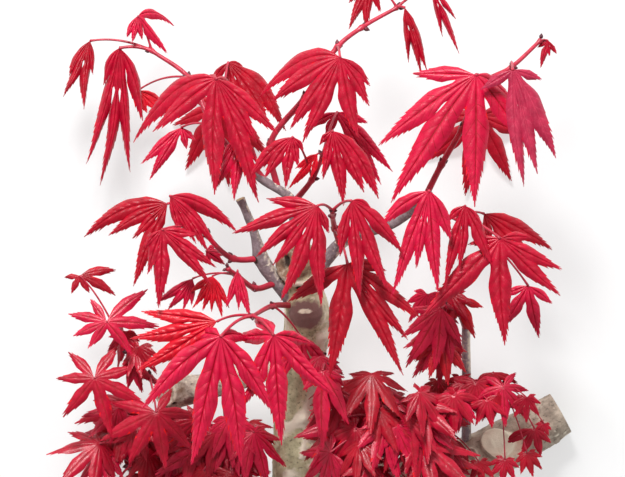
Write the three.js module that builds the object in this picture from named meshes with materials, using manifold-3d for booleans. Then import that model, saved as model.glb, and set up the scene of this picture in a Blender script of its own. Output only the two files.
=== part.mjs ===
// A cut branch of a red Japanese maple: a pruned main stem with its boughs and twigs, and shoots of
// hanging palmate leaves. It lies on its back, so +Z is towards whoever looks at the leaves and +Y is
// the way the branch grew. Lengths are millimetres and angles are degrees.
import * as THREE from 'three';
import Module from 'manifold-3d';

const wasm = await Module();
wasm.setup();

// Driving dimensions
const CUT_Y = -112;                 // the sawn foot of the main stem
const CUT_RADIUS = 12.5;            // half its thickness there
const FOOT_SPARE = 8;               // length of stem below the saw cut, trimmed away
const UNDERSIDE = [-0.9, -12.36, -0.07]; // middle of the underside in the layout below, moved to the origin
const CLEARANCE = 0.3;              // gap between a piece and the limb that carries it
const LEAF_THICKNESS = 0.9;         // at the ribs; the margins are sharp
const SHOOT_RADIUS = [1.4, 0.8];    // at a shoot's foot and at its tip
const STALK_RADIUS = [0.75, 0.55];  // leaf stalk at the shoot and at the leaf
const STALK_ARCH = 0.16;            // rise of a stalk's middle, of its length

// Shape of a leaf and its lobes
const GROWN_LEAF = 50;              // length of a grown leaf
const LOBE_HALF_WIDTH = 6.2;        // of its middle lobe
const LENGTH_POWER = 0.75;          // how the width of a lobe follows the leaf's length
const WIDTH_POWER = 0.6;            // how the width of a shorter lobe follows its length
const SINUS_WIDTH = 0.75;           // width of a lobe where it leaves its neighbour, of its full width
const SINUS_RANGE = [0.08, 0.32];   // nearest and furthest place of that parting, of the lobe's length
const TIP_POWER = 1.5;              // how late a lobe narrows to its tip
const BLADE_SWELL = [0.9, 0.22];    // width of a lobe at its ends, and how much more it has between
const WEB_EASE = 0.3;               // share of a lobe over which the web's edge turns into its own
const DROOP_POWER = 0.9;            // how late along a lobe its own weight bends it
const CURVE_STEPS = 20;             // steps along a lobe's rib while it bends
const MIN_RIB_GAP = 4;              // smallest angle taken between two ribs
const FULL_ROOM = 30;               // angle to the next rib that lets a lobe be as wide as it can be
const ROOM_POWER = 0.35;            // how the width of a lobe follows a smaller angle
const BACK_GAP = 44;                // angle taken at the open back of a leaf, beside its outer lobes
const LONG_LEAF = 30;               // from this length up a lobe has two cross-sections, not one
const LONG_SECTIONS = [0.5, 0.8];   // their places along the lobe
const SHORT_SECTIONS = [0.62];
const SPRAY_CUP = 20;               // cup and fold of the leaves that are dealt by the seeded rule
const SPRAY_FOLD = 18;

// Facets
const SHOOT_SIDES = 5;
const STALK_SIDES = 3;
const STALK_STEPS = 3;
const ROUND_END = [[0.5, 0.85], [0.8, 0.45]]; // extra rings: how far on, and how wide, of the last radius
const FINEST = 0.15;                // detail under this size is smoothed away where solids are fused
const TOUCHING = 0.003;             // two corners of a surface this near to each other touch
const PINCH_GAP = 0.02;             // how far each of them is drawn in, so that the surface stays clean

const DOWN = new THREE.Vector3(0, -1, 0);
const X_AXIS = new THREE.Vector3(1, 0, 0);
const Y_AXIS = new THREE.Vector3(0, 1, 0);
const Z_AXIS = new THREE.Vector3(0, 0, 1);

const FINISHES = {
  bark: { color: 0x8d8677, roughness: 0.85, metalness: 0 },
  twig: { color: 0x7b6a66, roughness: 0.8, metalness: 0 },
  leaf: { color: 0xc4143a, roughness: 0.55, metalness: 0 },
};

// Limbs: [x, y, z, radius] down the middle of each, from its foot to its end. A stub is a pruned side twig.
const LIMBS = {
  main_stem: {
    finish: FINISHES.bark, sides: 12, steps: 14, roundEnd: true,
    path: [[-5, CUT_Y - FOOT_SPARE, 11.8, CUT_RADIUS], [-5, -96, 14, 11.6], [-6, -73, 20, 9.8],
      [-4, -49, 27, 9.2], [-2, -33, 35, 9.4], [-4, -19, 42, 7.6], [-5, -9, 46, 8.6]],
  },
  left_bough: {
    finish: FINISHES.bark, sides: 10, steps: 6, roundEnd: true,
    path: [[-6, -49, 27, 4.6], [-22, -54, 26, 4.6], [-38, -59, 25, 5.2], [-58, -63, 24, 6.6]],
  },
  right_bough: {
    finish: FINISHES.bark, sides: 12, steps: 8, roundEnd: false,
    path: [[-4, -99, 13, 10.4], [20, -101, 11.5, 11], [46, -98, 11, 10.8], [76, -85, 10.5, 10.4],
      [101, -71, 9.6, 9.4]],
    stub: { from: [72, -85, 12], to: [74, -81, 24.5], radii: [6.2, 4.8] },
  },
  far_twig: {
    finish: FINISHES.twig, sides: 6, steps: 5, roundEnd: false,
    path: [[62.5, -86, 14, 2.0], [62.5, -60, 24, 1.8], [62, -30, 31, 1.6]],
  },
  left_twig: {
    finish: FINISHES.twig, sides: 7, steps: 8, roundEnd: false,
    path: [[-7, -27, 40, 2.9], [-15, -17, 46, 2.7], [-20, -9, 49, 3.1], [-24, 4, 53, 1.8],
      [-29, 16, 56, 1.7]],
  },
  upper_twig: {
    finish: FINISHES.twig, sides: 7, steps: 8, roundEnd: false,
    path: [[-5, -9, 46, 2.6], [-7, 5, 52, 2.2], [-9, 16, 54, 2.1], [-19, 23, 56, 1.8], [-27, 29, 56, 1.5]],
  },
  right_twig: {
    finish: FINISHES.twig, sides: 7, steps: 8, roundEnd: false,
    path: [[-1, -18, 42, 3.0], [6, -8, 47, 2.7], [14, 0, 50, 2.4], [32, 6, 54, 2.0], [45, 15, 58, 1.7]],
  },
};

// A plain fan of five ribs: [angle from the leaf's heading, share of its length]
function fan(spin, spread) {
  const ribs = [[-95, 0.6], [-45, 0.88], [0, 1], [45, 0.88], [95, 0.6]];
  return ribs.map(([angle, share]) => [spin + spread * angle, share]);
}

// Shoots and their leaves. A shoot is the line of its stem. A leaf is
// [foot, length, tip, turn, cup, droop, fold, ribs, where its stalk leaves the stem]:
// tip brings its heading forward, turn faces it to the right, cup closes it like an umbrella, droop is
// how far its weight bends it, and fold shuts each lobe along its rib. A rib is [angle, share of the
// length] and may have a droop and a cup of its own.
const SHOOTS = {
  upper_left: {
    stem: [[-26, 28, 56], [-40, 45, 50], [-50, 65, 42], [-65, 76, 36]],
    leaves: [
      [[-90, 80, 34], 28, 20, 10, 15, 0.3, 45, [[-50, 0.6, 1], [-28, 0.9], [-10, 1], [8, 0.5, 1]], 3],
      [[-78, 77, 36], 56, 12, 4, 14, 0, 48, [[-62, 0.3, 3], [-12, 0.87, -0.58], [-3, 1.01, -0.75],
        [4, 0.9, -0.6], [42, 0.56, 2.5]], 3],
      [[-70.5, 90, 40], 22, 20, 14, 15, 0.3, 35, [[-45, 0.45, 1.5], [-12, 0.5], [10, 0.45], [44, 0.88],
        [126, 0.98, 1.2]], 3],
      [[-71, 60, 22], 22, 20, 0, 15, 0.3, 20, [[25, 0.45], [56, 0.6, 0.3], [84, 0.62, 0.6]], 2],
      [[-53, 45, 34], 26, 15, 0, 10, 0.1, 25, [[-52, 0.85], [-34, 0.96], [15, 0.35], [50, 0.3]], 1],
      [[-38, 54, 10.6], 34, 15, 0, 28, 0.1, 15, fan(10, 1), 1],
    ],
  },
  middle_left: {
    stem: [[-19, 23, 56], [-30, 38, 58], [-36, 56, 62]],
    leaves: [
      [[-38.5, 64, 80], 54, 14, 0, 14, 0.1, 22, [[-136, 0.36, 0.2, 60], [-108, 0.85, 2.2], [-60, 0.62, 0.3],
        [-4, 0.86], [23, 0.97], [38, 0.56, 0.2], [58, 0.62, 0.35], [120, 0.4, 1, 55]], 2],
      [[-34, 71, 48], 34, 22, -6, 20, 0.4, 20, [[-60, 0.35, 1], [10, 0.5], [45, 0.8], [75, 1.1, 1.4],
        [118, 0.35, 2]], 2],
      [[-29, 41, 70], 26, 25, 0, 20, 0.4, 35, [[-60, 0.5, 1], [-30, 0.9], [-6, 1], [20, 0.9],
        [50, 0.5, 1]], 1],
    ],
  },
  top_middle: {
    stem: [[-14, 20, 55], [-17, 38, 58], [-3, 57, 62], [10, 77, 62], [20, 85, 58], [34, 93, 54]],
    leaves: [
      [[11, 72.5, 80], 40, 14, 0, 14, 0.3, 20, [[-115, 1.02, 1.7], [-74, 0.82, 0.6], [-42, 0.88, 0.4],
        [-25, 0.93], [12, 0.82], [40, 0.57], [62, 0.42, 0.5]], 3],
      [[24, 104, 56], 22, 15, 10, 15, 0.2, 30, [[-55, 0.6], [-30, 1], [-12, 0.92], [14, 0.6], [45, 0.4]], 5],
      [[37, 93, 58], 31, 6, 0, 6, 0.1, 52, [[6, 0.72], [17, 0.92], [29, 0.9, 0.9]], 5],
      [[48, 101, 56], 29, 6, 0, 6, 0.1, 52, [[15, 0.7], [24, 1], [40, 0.55]], 5],
    ],
  },
  middle: {
    stem: [[-8, 14, 53], [0, 24, 60], [4, 33, 64]],
    leaves: [
      [[-8, 40.5, 91], 24, 14, 0, 14, 0.3, 25, [[-74, 1, 1.2], [-42, 0.82, 0.3], [-12, 0.86], [12, 0.5],
        [60, 0.3, 1]], 1],
      [[8, 43, 82], 33, 14, 0, 14, 0.2, 30, [[-75, 0.24, 1.5], [-12, 0.6, 0.5], [10, 0.92], [38, 0.84, 0.7],
        [68, 1.02, 2]], 2],
      [[10, 51, 46], 33, 15, 0, 15, 0.3, 20, [[-75, 0.4], [-30, 0.35], [37, 1.04], [51, 1], [80, 0.4]], 2],
      [[2, 34, 70], 17, 15, -20, 15, 0.2, 30, [[-70, 0.7], [-48, 1.15], [-20, 0.6]], 2],
    ],
  },
  front_middle: {
    stem: [[11, -2, 50], [9, 4, 60], [8, 9, 72], [8, 11, 82]],
    leaves: [
      [[2, 13, 98], 39, 12, 0, 12, 0.1, 30, [[-104, 0.55], [-79, 0.93], [-56, 0.82], [-40, 0.76],
        [-20, 1.04], [0, 1.03], [32, 0.3, 1]], 3],
      [[15.5, 15, 96], 41, 12, 0, 12, 0.1, 32, [[-16, 0.55, 0.2], [7, 0.94], [24, 0.96], [68, 0.73, 1.3],
        [110, 0.25, 1.5]], 3],
      [[14, -10, 84], 41, 14, -4, 14, 0.1, 18, [[-62, 0.7], [-9, 1.12], [30, 1.22], [40, 0.95], [59, 0.9],
        [100, 0.4, 0.5]], 1],
    ],
  },
  right: {
    stem: [[44, 14, 58], [52, 30, 58], [60, 44, 58], [68, 62, 56], [80, 69, 52], [92, 80, 46]],
    leaves: [
      [[65.5, 65.5, 76], 54, 12, 0, 12, 0, 20, [[-96, 0.48], [-66, 0.9, 0.5], [-42, 1.14, 0.6], [0, 0.98],
        [46, 0.64, 0.6], [100, 0.45, 1, 45]], 3],
      [[80, 67.5, 82], 42, 14, 0, 14, 0.2, 25, [[-64, 0.36], [3, 1.12], [15, 1.02], [42, 0.94, 1.5],
        [80, 0.3]], 4],
      [[95, 80, 46], 13, 12, 0, 12, 0.2, 35, [[-60, 0.4], [-19, 0.9], [5, 0.5], [35, 0.5]], 5],
      [[68, 50, 10.8], 34, 15, 0, 28, 0.1, 15, fan(-12, 1), 3],
    ],
  },
  right_middle: {
    stem: [[41, 12, 57], [50, 10, 64], [58, 8, 70]],
    leaves: [
      [[46.5, 19, 90], 43, 12, 0, 12, 0, 25, [[-74, 0.56, 0.6], [-22, 1.05], [-11, 0.73], [4, 0.95],
        [44, 0.5, 2.2]], 1],
      [[61, 13, 84], 32, 14, 0, 14, 0, 28, [[-80, 0.33, 1.2], [-17, 1.03], [-4, 0.78], [30, 0.8, 0.3],
        [62, 0.35, 1.5]], 2],
      [[75, 0, 82], 45, 12, 0, 12, 0, 20, [[-95, 0.3, 0.5], [-46, 1], [0, 0.95], [46, 0.74], [65, 0.62],
        [110, 0.3, 0.5]], 2],
      [[69, 10, 54], 32, 15, 0, 15, 0.3, 20, [[15, 0.4], [50, 0.95], [82, 1, 0.7]], 2],
      [[87, -19, 46], 27, 12, 0, 12, 0.1, 20, [[-75, 0.4], [-32, 0.74], [12, 0.8], [60, 0.45]], 2],
    ],
  },
  left: {
    stem: [[-20, -8, 49], [-32, -8, 56], [-42, 1, 66], [-49, 13, 72]],
    leaves: [
      [[-60, 3.5, 92], 34, 12, 0, 12, 0.1, 20, [[-65, 0.3, 1], [-24, 0.55, 0.3], [-1, 0.92], [46, 0.86],
        [59, 0.78], [86, 0.42]], 2],
      [[-57, 17, 82], 32, 14, 0, 12, 0.2, 35, [[16, 0.5], [30, 0.68], [42, 0.86], [57, 0.88, 0.5],
        [98, 1, 1.3]], 3],
      [[-58, 14, 76], 31, 12, 0, 10, 0.1, 25, [[-101, 1.24, 1], [-74, 0.88, 0.3], [-50, 0.64],
        [-30, 1.16, 0.4]], 3],
      [[-43, -5, 50], 14, 15, 0, 15, 0.2, 15, [[20, 0.4], [62, 0.7], [90, 0.65], [130, 0.4]], 1],
    ],
  },
  young_left: {
    stem: [[-15, -18, 46], [-23, -20, 56], [-30, -15, 66], [-34, -12, 72]],
    leaves: [
      [[-48, -16, 76], 18, 12, 0, 10, 0.1, 35, [[-58, 0.98], [-38, 0.9], [-18, 0.75], [-2, 0.6]], 2],
      [[-40, -15, 78], 18, 12, 0, 10, 0.1, 35, [[-58, 0.62], [-32, 0.85], [-14, 0.8], [1, 0.8], [14, 0.95],
        [30, 0.8]], 2],
      [[-30, -13, 80], 21, 10, 0, 5, 0.1, 35, [[-16, 0.72], [2, 0.75], [16, 0.95]], 2],
    ],
  },
  front_left: {
    stem: [[-8, -27, 40], [-16, -27, 60], [-24, -31, 84]],
    leaves: [
      [[-36.5, -39, 104], 50, 10, 0, 12, 0, 22, [[-128, 0.66, 0.5, 54], [-64, 0.88, 0.6], [-14, 1.05],
        [12, 1.04], [44, 0.72, 0.4], [128, 0.5, 0.5, 54]], 2],
      [[-38, -33, 92], 36, 10, 0, 10, 0, 18, [[-100, 0.87], [-78, 1], [-58, 1.06]], 2],
      [[-15.5, -38.5, 100], 44, 10, 0, 12, 0, 22, [[-156, 0.6, 0.3, 50], [-108, 0.62, 0.3, 50], [-22, 0.72],
        [4, 1], [44, 0.82], [62, 0.47, 0.5], [102, 0.5, 0.5, 40]], 2],
    ],
  },
  stem_sprout: {
    stem: [[-2, -44, 32], [4, -47, 44], [5, -50, 54]],
    leaves: [
      [[4, -53, 62], 32, 14, 0, 12, 0.1, 25, [[-50, 0.35], [-2, 1], [31, 0.75], [75, 0.3]], 2],
    ],
  },
  low_left: {
    stem: [[-57, -62, 25], [-66, -56, 33], [-74, -46, 38], [-80, -36, 40]],
    leaves: [
      [[-83, -33.5, 48], 24, 10, 0, 10, 0.1, 20, [[-145, 0.5], [-108, 0.68], [-72, 0.62], [-35, 0.55],
        [42, 0.7], [92, 0.9], [135, 0.92]], 3],
      [[-94, -15, 40], 16, 10, 0, 10, 0.2, 20, [[-90, 0.4], [-30, 0.5], [30, 0.5], [80, 1.05, 0.7],
        [110, 0.95]], 3],
      [[-88, -56.3, 46], 29, 10, 0, 12, 0.1, 20, [[-140, 0.55], [-95, 0.55], [-40, 0.7], [20, 0.86],
        [68, 0.8], [108, 0.6], [148, 0.6]], 1],
      [[-63, -70, 48], 26, 12, 0, 15, 0.2, 20, [[-110, 0.8], [-70, 1], [-30, 0.9], [10, 0.9], [50, 0.8],
        [95, 0.7], [150, 0.5]], 1],
    ],
  },
  right_far: {
    stem: [[62, -36, 30], [59, -30, 38], [54, -27, 44]],
    leaves: [
      [[52, -28, 48], 28, 12, 0, 14, 0.2, 18, [[-95, 0.5], [-60, 0.72], [-32, 1], [-5, 0.9], [30, 0.6]], 2],
      [[59, -24, 40], 22, 12, 0, 14, 0.2, 18, [[-120, 0.5], [-20, 0.6], [25, 0.8], [75, 0.5]], 1],
      [[55, -35, 34], 26, 12, 0, 14, 0.2, 18, [[-70, 0.8], [-38, 1], [-8, 1], [22, 0.6]], 1],
    ],
  },
  low_right_far: {
    stem: [[50, -94, 14], [55, -78, 26], [66, -64, 32], [76, -58, 34]],
    leaves: [
      [[66, -58, 40], 17, 12, 0, 14, 0.3, 18, [[-110, 0.7], [-65, 0.9], [-25, 0.9], [15, 0.95], [60, 0.8],
        [110, 0.7]], 2],
      [[77, -60, 42], 18, 12, 0, 14, 0.3, 18, [[-130, 0.55], [-80, 0.7], [-35, 0.85], [5, 0.9], [45, 0.85],
        [95, 0.6], [150, 0.5]], 3],
      [[73, -54, 38], 14, 12, 0, 14, 0.3, 18, [[-70, 0.6], [-25, 0.7], [30, 0.7], [75, 0.8]], 3],
      [[57, -63, 52], 18, 12, 0, 14, 0.3, 18, [[-80, 0.8], [-40, 1], [0, 0.95], [40, 0.8], [90, 0.6]], 2],
      [[56, -80, 30], 20, 12, 0, 14, 0.3, 18, [[-90, 0.7], [-45, 0.95], [0, 1], [40, 0.7]], 1],
      [[70.5, -65, 44], 13, 12, 0, 14, 0.3, 18, [[-75, 0.8], [-30, 0.9], [12, 0.9], [55, 0.8]], 2],
      [[90, -77, 26], 15, 12, 0, 14, 0.3, 18, [[-75, 1], [-30, 0.8], [15, 0.8], [55, 0.6]], 3],
    ],
  },
};

// Shoots behind the front ones: opposite pairs of leaves along the stem and one at its tip, dealt by a
// seeded rule. reach is the length of a stalk and size the length of a leaf.
const SPRAYS = {
  low_left_far: {
    seed: 11, pairs: 3, reach: 15, size: 28, stem: [[-55, -66, 23.5], [-66, -80, 20.5], [-74, -92, 19.7]],
  },
  low_middle: {
    seed: 5, pairs: 3, reach: 14, size: 26, stem: [[-36, -60, 22], [-34, -78, 30], [-30, -90, 32]],
  },
  low_right: {
    seed: 7, pairs: 3, reach: 16, size: 28, stem: [[32, -98, 16], [30, -88, 42], [26, -66, 52]],
  },
};

// Random numbers that come out the same each time
class Dice {
  constructor(seed) {
    this.state = seed;
    this.roll(0, 1);
  }

  roll(low, high) {
    this.state = (this.state * 16807) % 2147483647;
    return low + (high - low) * this.state / 2147483647;
  }
}

const radians = (degrees) => degrees * Math.PI / 180;
const vector = ([x, y, z]) => new THREE.Vector3(x, y, z);
const smooth = (t) => t * t * (3 - 2 * t);

function solidOf(points, triangles) {
  const vertProperties = new Float32Array(points.length * 3);
  points.forEach((p, i) => p.toArray(vertProperties, i * 3));
  const triVerts = new Uint32Array(triangles.flat());
  return new wasm.Manifold(new wasm.Mesh({ numProp: 3, vertProperties, triVerts }));
}

// A round limb through rings of points, closed by a flat face at each end
function tube(centres, radii, sides) {
  const points = [];
  const triangles = [];
  let side = null;
  centres.forEach((centre, i) => {
    const before = centres[Math.max(i - 1, 0)];
    const after = centres[Math.min(i + 1, centres.length - 1)];
    const along = after.clone().sub(before).normalize();
    side = side ?? (Math.abs(along.z) < 0.9 ? Z_AXIS.clone() : X_AXIS.clone());
    side.addScaledVector(along, -side.dot(along)).normalize();
    const other = along.clone().cross(side);
    for (let k = 0; k < sides; k += 1) {
      const angle = 2 * Math.PI * k / sides;
      points.push(centre.clone()
        .addScaledVector(side, radii[i] * Math.cos(angle))
        .addScaledVector(other, radii[i] * Math.sin(angle)));
    }
  });
  const last = (centres.length - 1) * sides;
  for (let k = 0; k < sides; k += 1) {
    const next = (k + 1) % sides;
    for (let i = 0; i < last; i += sides) {
      triangles.push([i + k, i + next, i + sides + next], [i + k, i + sides + next, i + sides + k]);
    }
    if (k > 0 && next > 0) {
      triangles.push([0, next, k], [last, last + k, last + next]);
    }
  }
  return solidOf(points, triangles);
}

// A limb's centres and radii, evenly along a smooth curve through its path
function limbRings({ path, steps, roundEnd }, extra = 0) {
  const curve = new THREE.CatmullRomCurve3(path.map(vector), false, 'centripetal');
  const centres = [];
  const radii = [];
  for (let i = 0; i <= steps; i += 1) {
    const t = i / steps;
    const place = t * (path.length - 1);
    const k = Math.min(Math.floor(place), path.length - 2);
    centres.push(curve.getPoint(t));
    radii.push(THREE.MathUtils.lerp(path[k][3], path[k + 1][3], smooth(place - k)) + extra);
  }
  if (roundEnd) {
    const end = centres.at(-1);
    const along = end.clone().sub(centres.at(-2)).normalize();
    const radius = radii.at(-1);
    for (const [onward, share] of ROUND_END) {
      centres.push(end.clone().addScaledVector(along, radius * onward));
      radii.push(radius * share);
    }
  }
  return [centres, radii];
}

function limbSolid(limb, extra = 0) {
  const [centres, radii] = limbRings(limb, extra);
  const solid = tube(centres, radii, limb.sides);
  if (!limb.stub) {
    return solid;
  }
  const { from, to, radii: stubRadii } = limb.stub;
  return solid.add(tube([vector(from), vector(to)], stubRadii.map((radius) => radius + extra), limb.sides));
}

function turned(v, tip, turn) {
  return v.applyAxisAngle(X_AXIS, -radians(tip)).applyAxisAngle(Y_AXIS, radians(turn));
}

// The rib of each lobe: its points, the direction across it and the lobe's normal, at even steps
function ribCurves(leaf) {
  const [foot, length, tip, turn, cup, droop, , ribs] = leaf;
  const normal = turned(Z_AXIS.clone(), tip, turn);
  const starts = ribs.map(([angle, , , ownCup]) => turned(
    new THREE.Vector3(Math.sin(radians(angle)), -Math.cos(radians(angle)), 0), tip, turn)
    .multiplyScalar(Math.cos(radians(ownCup ?? cup)))
    .addScaledVector(normal, -Math.sin(radians(ownCup ?? cup))));
  return ribs.map(([angle, share, ownDroop], index) => {
    const start = starts[index];
    const size = length * share;
    const gaps = [ribs[index - 1], ribs[index + 1]].filter(Boolean).map(([other]) => Math.abs(other - angle));
    const room = Math.min(...gaps, FULL_ROOM) / FULL_ROOM;
    const half = LOBE_HALF_WIDTH * (length / GROWN_LEAF) ** LENGTH_POWER * room ** ROOM_POWER
      * share ** WIDTH_POWER;
    const point = vector(foot);
    const along = start.clone();
    const side = normal.clone().cross(start).normalize();
    const steps = [{ point: point.clone(), side: side.clone(), up: along.clone().cross(side).normalize() }];
    for (let j = 1; j <= CURVE_STEPS; j += 1) {
      const bend = (ownDroop ?? droop) * (j / CURVE_STEPS) ** DROOP_POWER;
      const next = start.clone().addScaledVector(DOWN, bend).normalize();
      point.addScaledVector(along.clone().add(next).normalize(), size / CURVE_STEPS);
      side.applyQuaternion(new THREE.Quaternion().setFromUnitVectors(along, next));
      along.copy(next);
      steps.push({ point: point.clone(), side: side.clone(), up: along.clone().cross(side).normalize() });
    }
    return { start, size, half, steps };
  });
}

// Where two neighbouring lobes part, as a distance from the foot
function sinusReach(length, gap, pair) {
  const width = SINUS_WIDTH * Math.min(...pair.map((curve) => curve.half));
  const size = Math.min(...pair.map((curve) => curve.size));
  const [nearest, furthest] = SINUS_RANGE;
  return THREE.MathUtils.clamp(width / Math.tan(gap / 2), nearest * length, furthest * size);
}

// Half the width of a lobe at u along it: a widening web up to the sinus, then a blade with a long tip
function halfWidth(u, half, size, gap, reach) {
  const web = Math.tan(gap / 2);
  const parting = reach / size;
  if (u <= parting) {
    return u * size * web;
  }
  const t = (u - parting) / (1 - parting);
  const blade = half * (1 - t ** TIP_POWER) * (BLADE_SWELL[0] + BLADE_SWELL[1] * Math.sin(Math.PI * t));
  const ease = smooth(Math.min(t / WEB_EASE, 1));
  return reach * web * (1 - t) * (1 - ease) + blade * ease;
}

function ribPlace(curve, u) {
  const place = Math.min(u, 1) * CURVE_STEPS;
  const k = Math.min(Math.floor(place), CURVE_STEPS - 1);
  const mix = (name) => curve.steps[k][name].clone().lerp(curve.steps[k + 1][name], place - k);
  return { point: mix('point'), side: mix('side').normalize(), up: mix('up').normalize() };
}

// One closed solid for each lobe. Two neighbours share the wall under their common edge of web, so
// they fuse into one blade.
function leafSolids(leaf) {
  const [foot, length, tip, turn, , , fold, ribs] = leaf;
  const curves = ribCurves(leaf);
  const normal = turned(Z_AXIS.clone(), tip, turn);
  const levels = length >= LONG_LEAF ? LONG_SECTIONS : SHORT_SECTIONS;
  const partings = [];
  for (let i = 0; i <= ribs.length; i += 1) {
    const pair = [curves[i - 1], curves[i]].filter(Boolean);
    const gap = pair.length === 2
      ? Math.max(pair[0].start.angleTo(pair[1].start), radians(MIN_RIB_GAP)) : radians(BACK_GAP);
    partings.push({ gap, reach: sinusReach(length, gap, pair) });
  }
  const margin = (curve, u, sign, parting) => {
    const width = halfWidth(u, curve.half, curve.size, parting.gap, parting.reach);
    const { point, side, up } = ribPlace(curve, u);
    return point.addScaledVector(side, sign * width * Math.cos(radians(fold)))
      .addScaledVector(up, -width * Math.sin(radians(fold)));
  };
  partings.forEach((parting, i) => {
    const ends = [[curves[i - 1], 1], [curves[i], -1]].filter(([curve]) => curve)
      .map(([curve, sign]) => margin(curve, parting.reach / curve.size, sign, parting));
    parting.point = ends.reduce((sum, p) => sum.add(p), new THREE.Vector3()).divideScalar(ends.length);
  });
  const half = LEAF_THICKNESS / 2;
  const top = vector(foot).addScaledVector(normal, half);
  const bottom = vector(foot).addScaledVector(normal, -half);
  return curves.map((curve, i) => {
    const rings = levels.map((u) => ribPlace(curve, u));
    const thin = (k) => half * (1 - 0.5 * levels[k]);
    const ridge = [top, ...rings.map(({ point, up }, k) => point.clone().addScaledVector(up, thin(k)))];
    const keel = [bottom, ...rings.map(({ point, up }, k) => point.clone().addScaledVector(up, -thin(k)))];
    const left = [partings[i].point, ...levels.map((u) => margin(curve, u, -1, partings[i]))];
    const right = [partings[i + 1].point, ...levels.map((u) => margin(curve, u, 1, partings[i + 1]))];
    const points = [...ridge, ...right, ...keel, ...left, ribPlace(curve, 1).point];
    const n = ridge.length;
    const end = 4 * n;
    const triangles = [];
    for (let chain = 0; chain < 4; chain += 1) {
      const a = chain * n;
      const b = ((chain + 1) % 4) * n;
      for (let k = 0; k < n - 1; k += 1) {
        triangles.push([a + k, a + k + 1, b + k + 1], [a + k, b + k + 1, b + k]);
      }
      triangles.push([a + n - 1, end, b + n - 1]);
    }
    triangles.push([0, n, 2 * n], [0, 2 * n, 3 * n]);
    return solidOf(points, triangles);
  });
}

// The leaves of a spray, as rows like those of SHOOTS with the point their stalk leaves from. A leaf
// that would touch a limb is left out.
function sprayLeaves({ seed, stem, pairs, reach, size }) {
  const dice = new Dice(seed);
  const line = stem.map(vector);
  const spans = line.slice(1).map((p, i) => p.distanceTo(line[i]));
  const total = spans.reduce((sum, span) => sum + span, 0);
  const leaves = [];
  for (let i = 0; i <= pairs; i += 1) {
    let rest = total * (i + 1) / (pairs + 1);
    let k = 0;
    while (k < spans.length - 1 && rest > spans[k]) {
      rest -= spans[k];
      k += 1;
    }
    const node = line[k].clone().lerp(line[k + 1], Math.min(rest / spans[k], 1));
    const along = line[k + 1].clone().sub(line[k]).normalize();
    const across = along.clone().cross(Z_AXIS).normalize();
    for (const hand of i < pairs ? [-1, 1] : [0]) {
      const out = across.clone().multiplyScalar(hand).addScaledVector(along, hand ? 0.5 : 1);
      const foot = node.clone().addScaledVector(out.clone().normalize(), reach * dice.roll(0.8, 1.2));
      foot.z += dice.roll(-6, 8);
      const length = size * dice.roll(0.8, 1.1);
      const spin = Math.atan2(out.x, 1.2) * 180 / Math.PI + dice.roll(-25, 25);
      const tip = dice.roll(5, 40);
      const turn = dice.roll(-25, 25);
      const droop = dice.roll(0.1, 0.5);
      const ribs = fan(spin, dice.roll(0.8, 1));
      const leaf = [foot.toArray(), length, tip, turn, SPRAY_CUP, droop, SPRAY_FOLD, ribs, node];
      if (!touchesLimb(leaf)) {
        leaves.push(leaf);
      }
    }
  }
  return leaves;
}

function touchesLimb(leaf) {
  const places = ribCurves(leaf).flatMap((curve) => curve.steps.map(({ point }) => point));
  return Object.values(LIMBS).some((limb) => {
    const [centres, radii] = limbRings(limb, CLEARANCE);
    return centres.some((centre, i) => places.some((place) => place.distanceTo(centre) < radii[i]));
  });
}

// An arching leaf stalk from the stem to the leaf's foot
function stalkSolid(node, foot) {
  const middle = node.clone().lerp(foot, 0.5).addScaledVector(Y_AXIS, STALK_ARCH * node.distanceTo(foot));
  const curve = new THREE.QuadraticBezierCurve3(node, middle, foot);
  const centres = curve.getPoints(STALK_STEPS);
  const radii = centres.map((_, i) => THREE.MathUtils.lerp(...STALK_RADIUS, i / STALK_STEPS));
  return tube(centres, radii, STALK_SIDES);
}

function shootSolid(stem, leaves, carriers) {
  const curve = new THREE.CatmullRomCurve3(stem.map(vector), false, 'centripetal');
  const steps = 2 * (stem.length - 1);
  const centres = Array.from({ length: steps + 1 }, (_, i) => curve.getPoint(i / steps));
  const radii = centres.map((_, i) => THREE.MathUtils.lerp(...SHOOT_RADIUS, i / steps));
  const pieces = [tube(centres, radii, SHOOT_SIDES)];
  for (const leaf of leaves) {
    const from = leaf[8].isVector3 ? leaf[8] : vector(stem[leaf[8]]);
    pieces.push(stalkSolid(from, vector(leaf[0])), ...leafSolids(leaf));
  }
  const whole = wasm.Manifold.union(pieces);
  return largest(carriers.reduce((solid, carrier) => solid.subtract(carrier), whole).simplify(FINEST));
}

// The largest piece of a solid: loose scraps and sealed hollows are dropped
function largest(solid) {
  return solid.decompose().reduce((best, piece) => (piece.volume() > best.volume() ? piece : best));
}

// Where a surface touches itself, at a corner or along an edge, each side is drawn in a little
function openPinches({ attributes: { position, normal } }) {
  const corners = Array.from({ length: position.count },
    (_, i) => new THREE.Vector3().fromBufferAttribute(position, i));
  corners.forEach((corner, i) => {
    if (corners.some((other, j) => i !== j && corner.distanceTo(other) < TOUCHING)) {
      const inward = new THREE.Vector3().fromBufferAttribute(normal, i);
      position.setXYZ(i, ...corner.clone().addScaledVector(inward, -PINCH_GAP));
    }
  });
}

function meshOf(name, solid, finish) {
  const { vertProperties, triVerts, numProp } = solid.getMesh();
  const positions = new Float32Array(vertProperties.length / numProp * 3);
  for (let i = 0; i < positions.length / 3; i += 1) {
    positions.set(vertProperties.subarray(i * numProp, i * numProp + 3), i * 3);
  }
  const geometry = new THREE.BufferGeometry();
  geometry.setAttribute('position', new THREE.BufferAttribute(positions, 3));
  geometry.setIndex(new THREE.BufferAttribute(triVerts, 1));
  geometry.computeVertexNormals();
  openPinches(geometry);
  const mesh = new THREE.Mesh(geometry, new THREE.MeshStandardMaterial(finish));
  mesh.name = name;
  return mesh;
}

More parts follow.
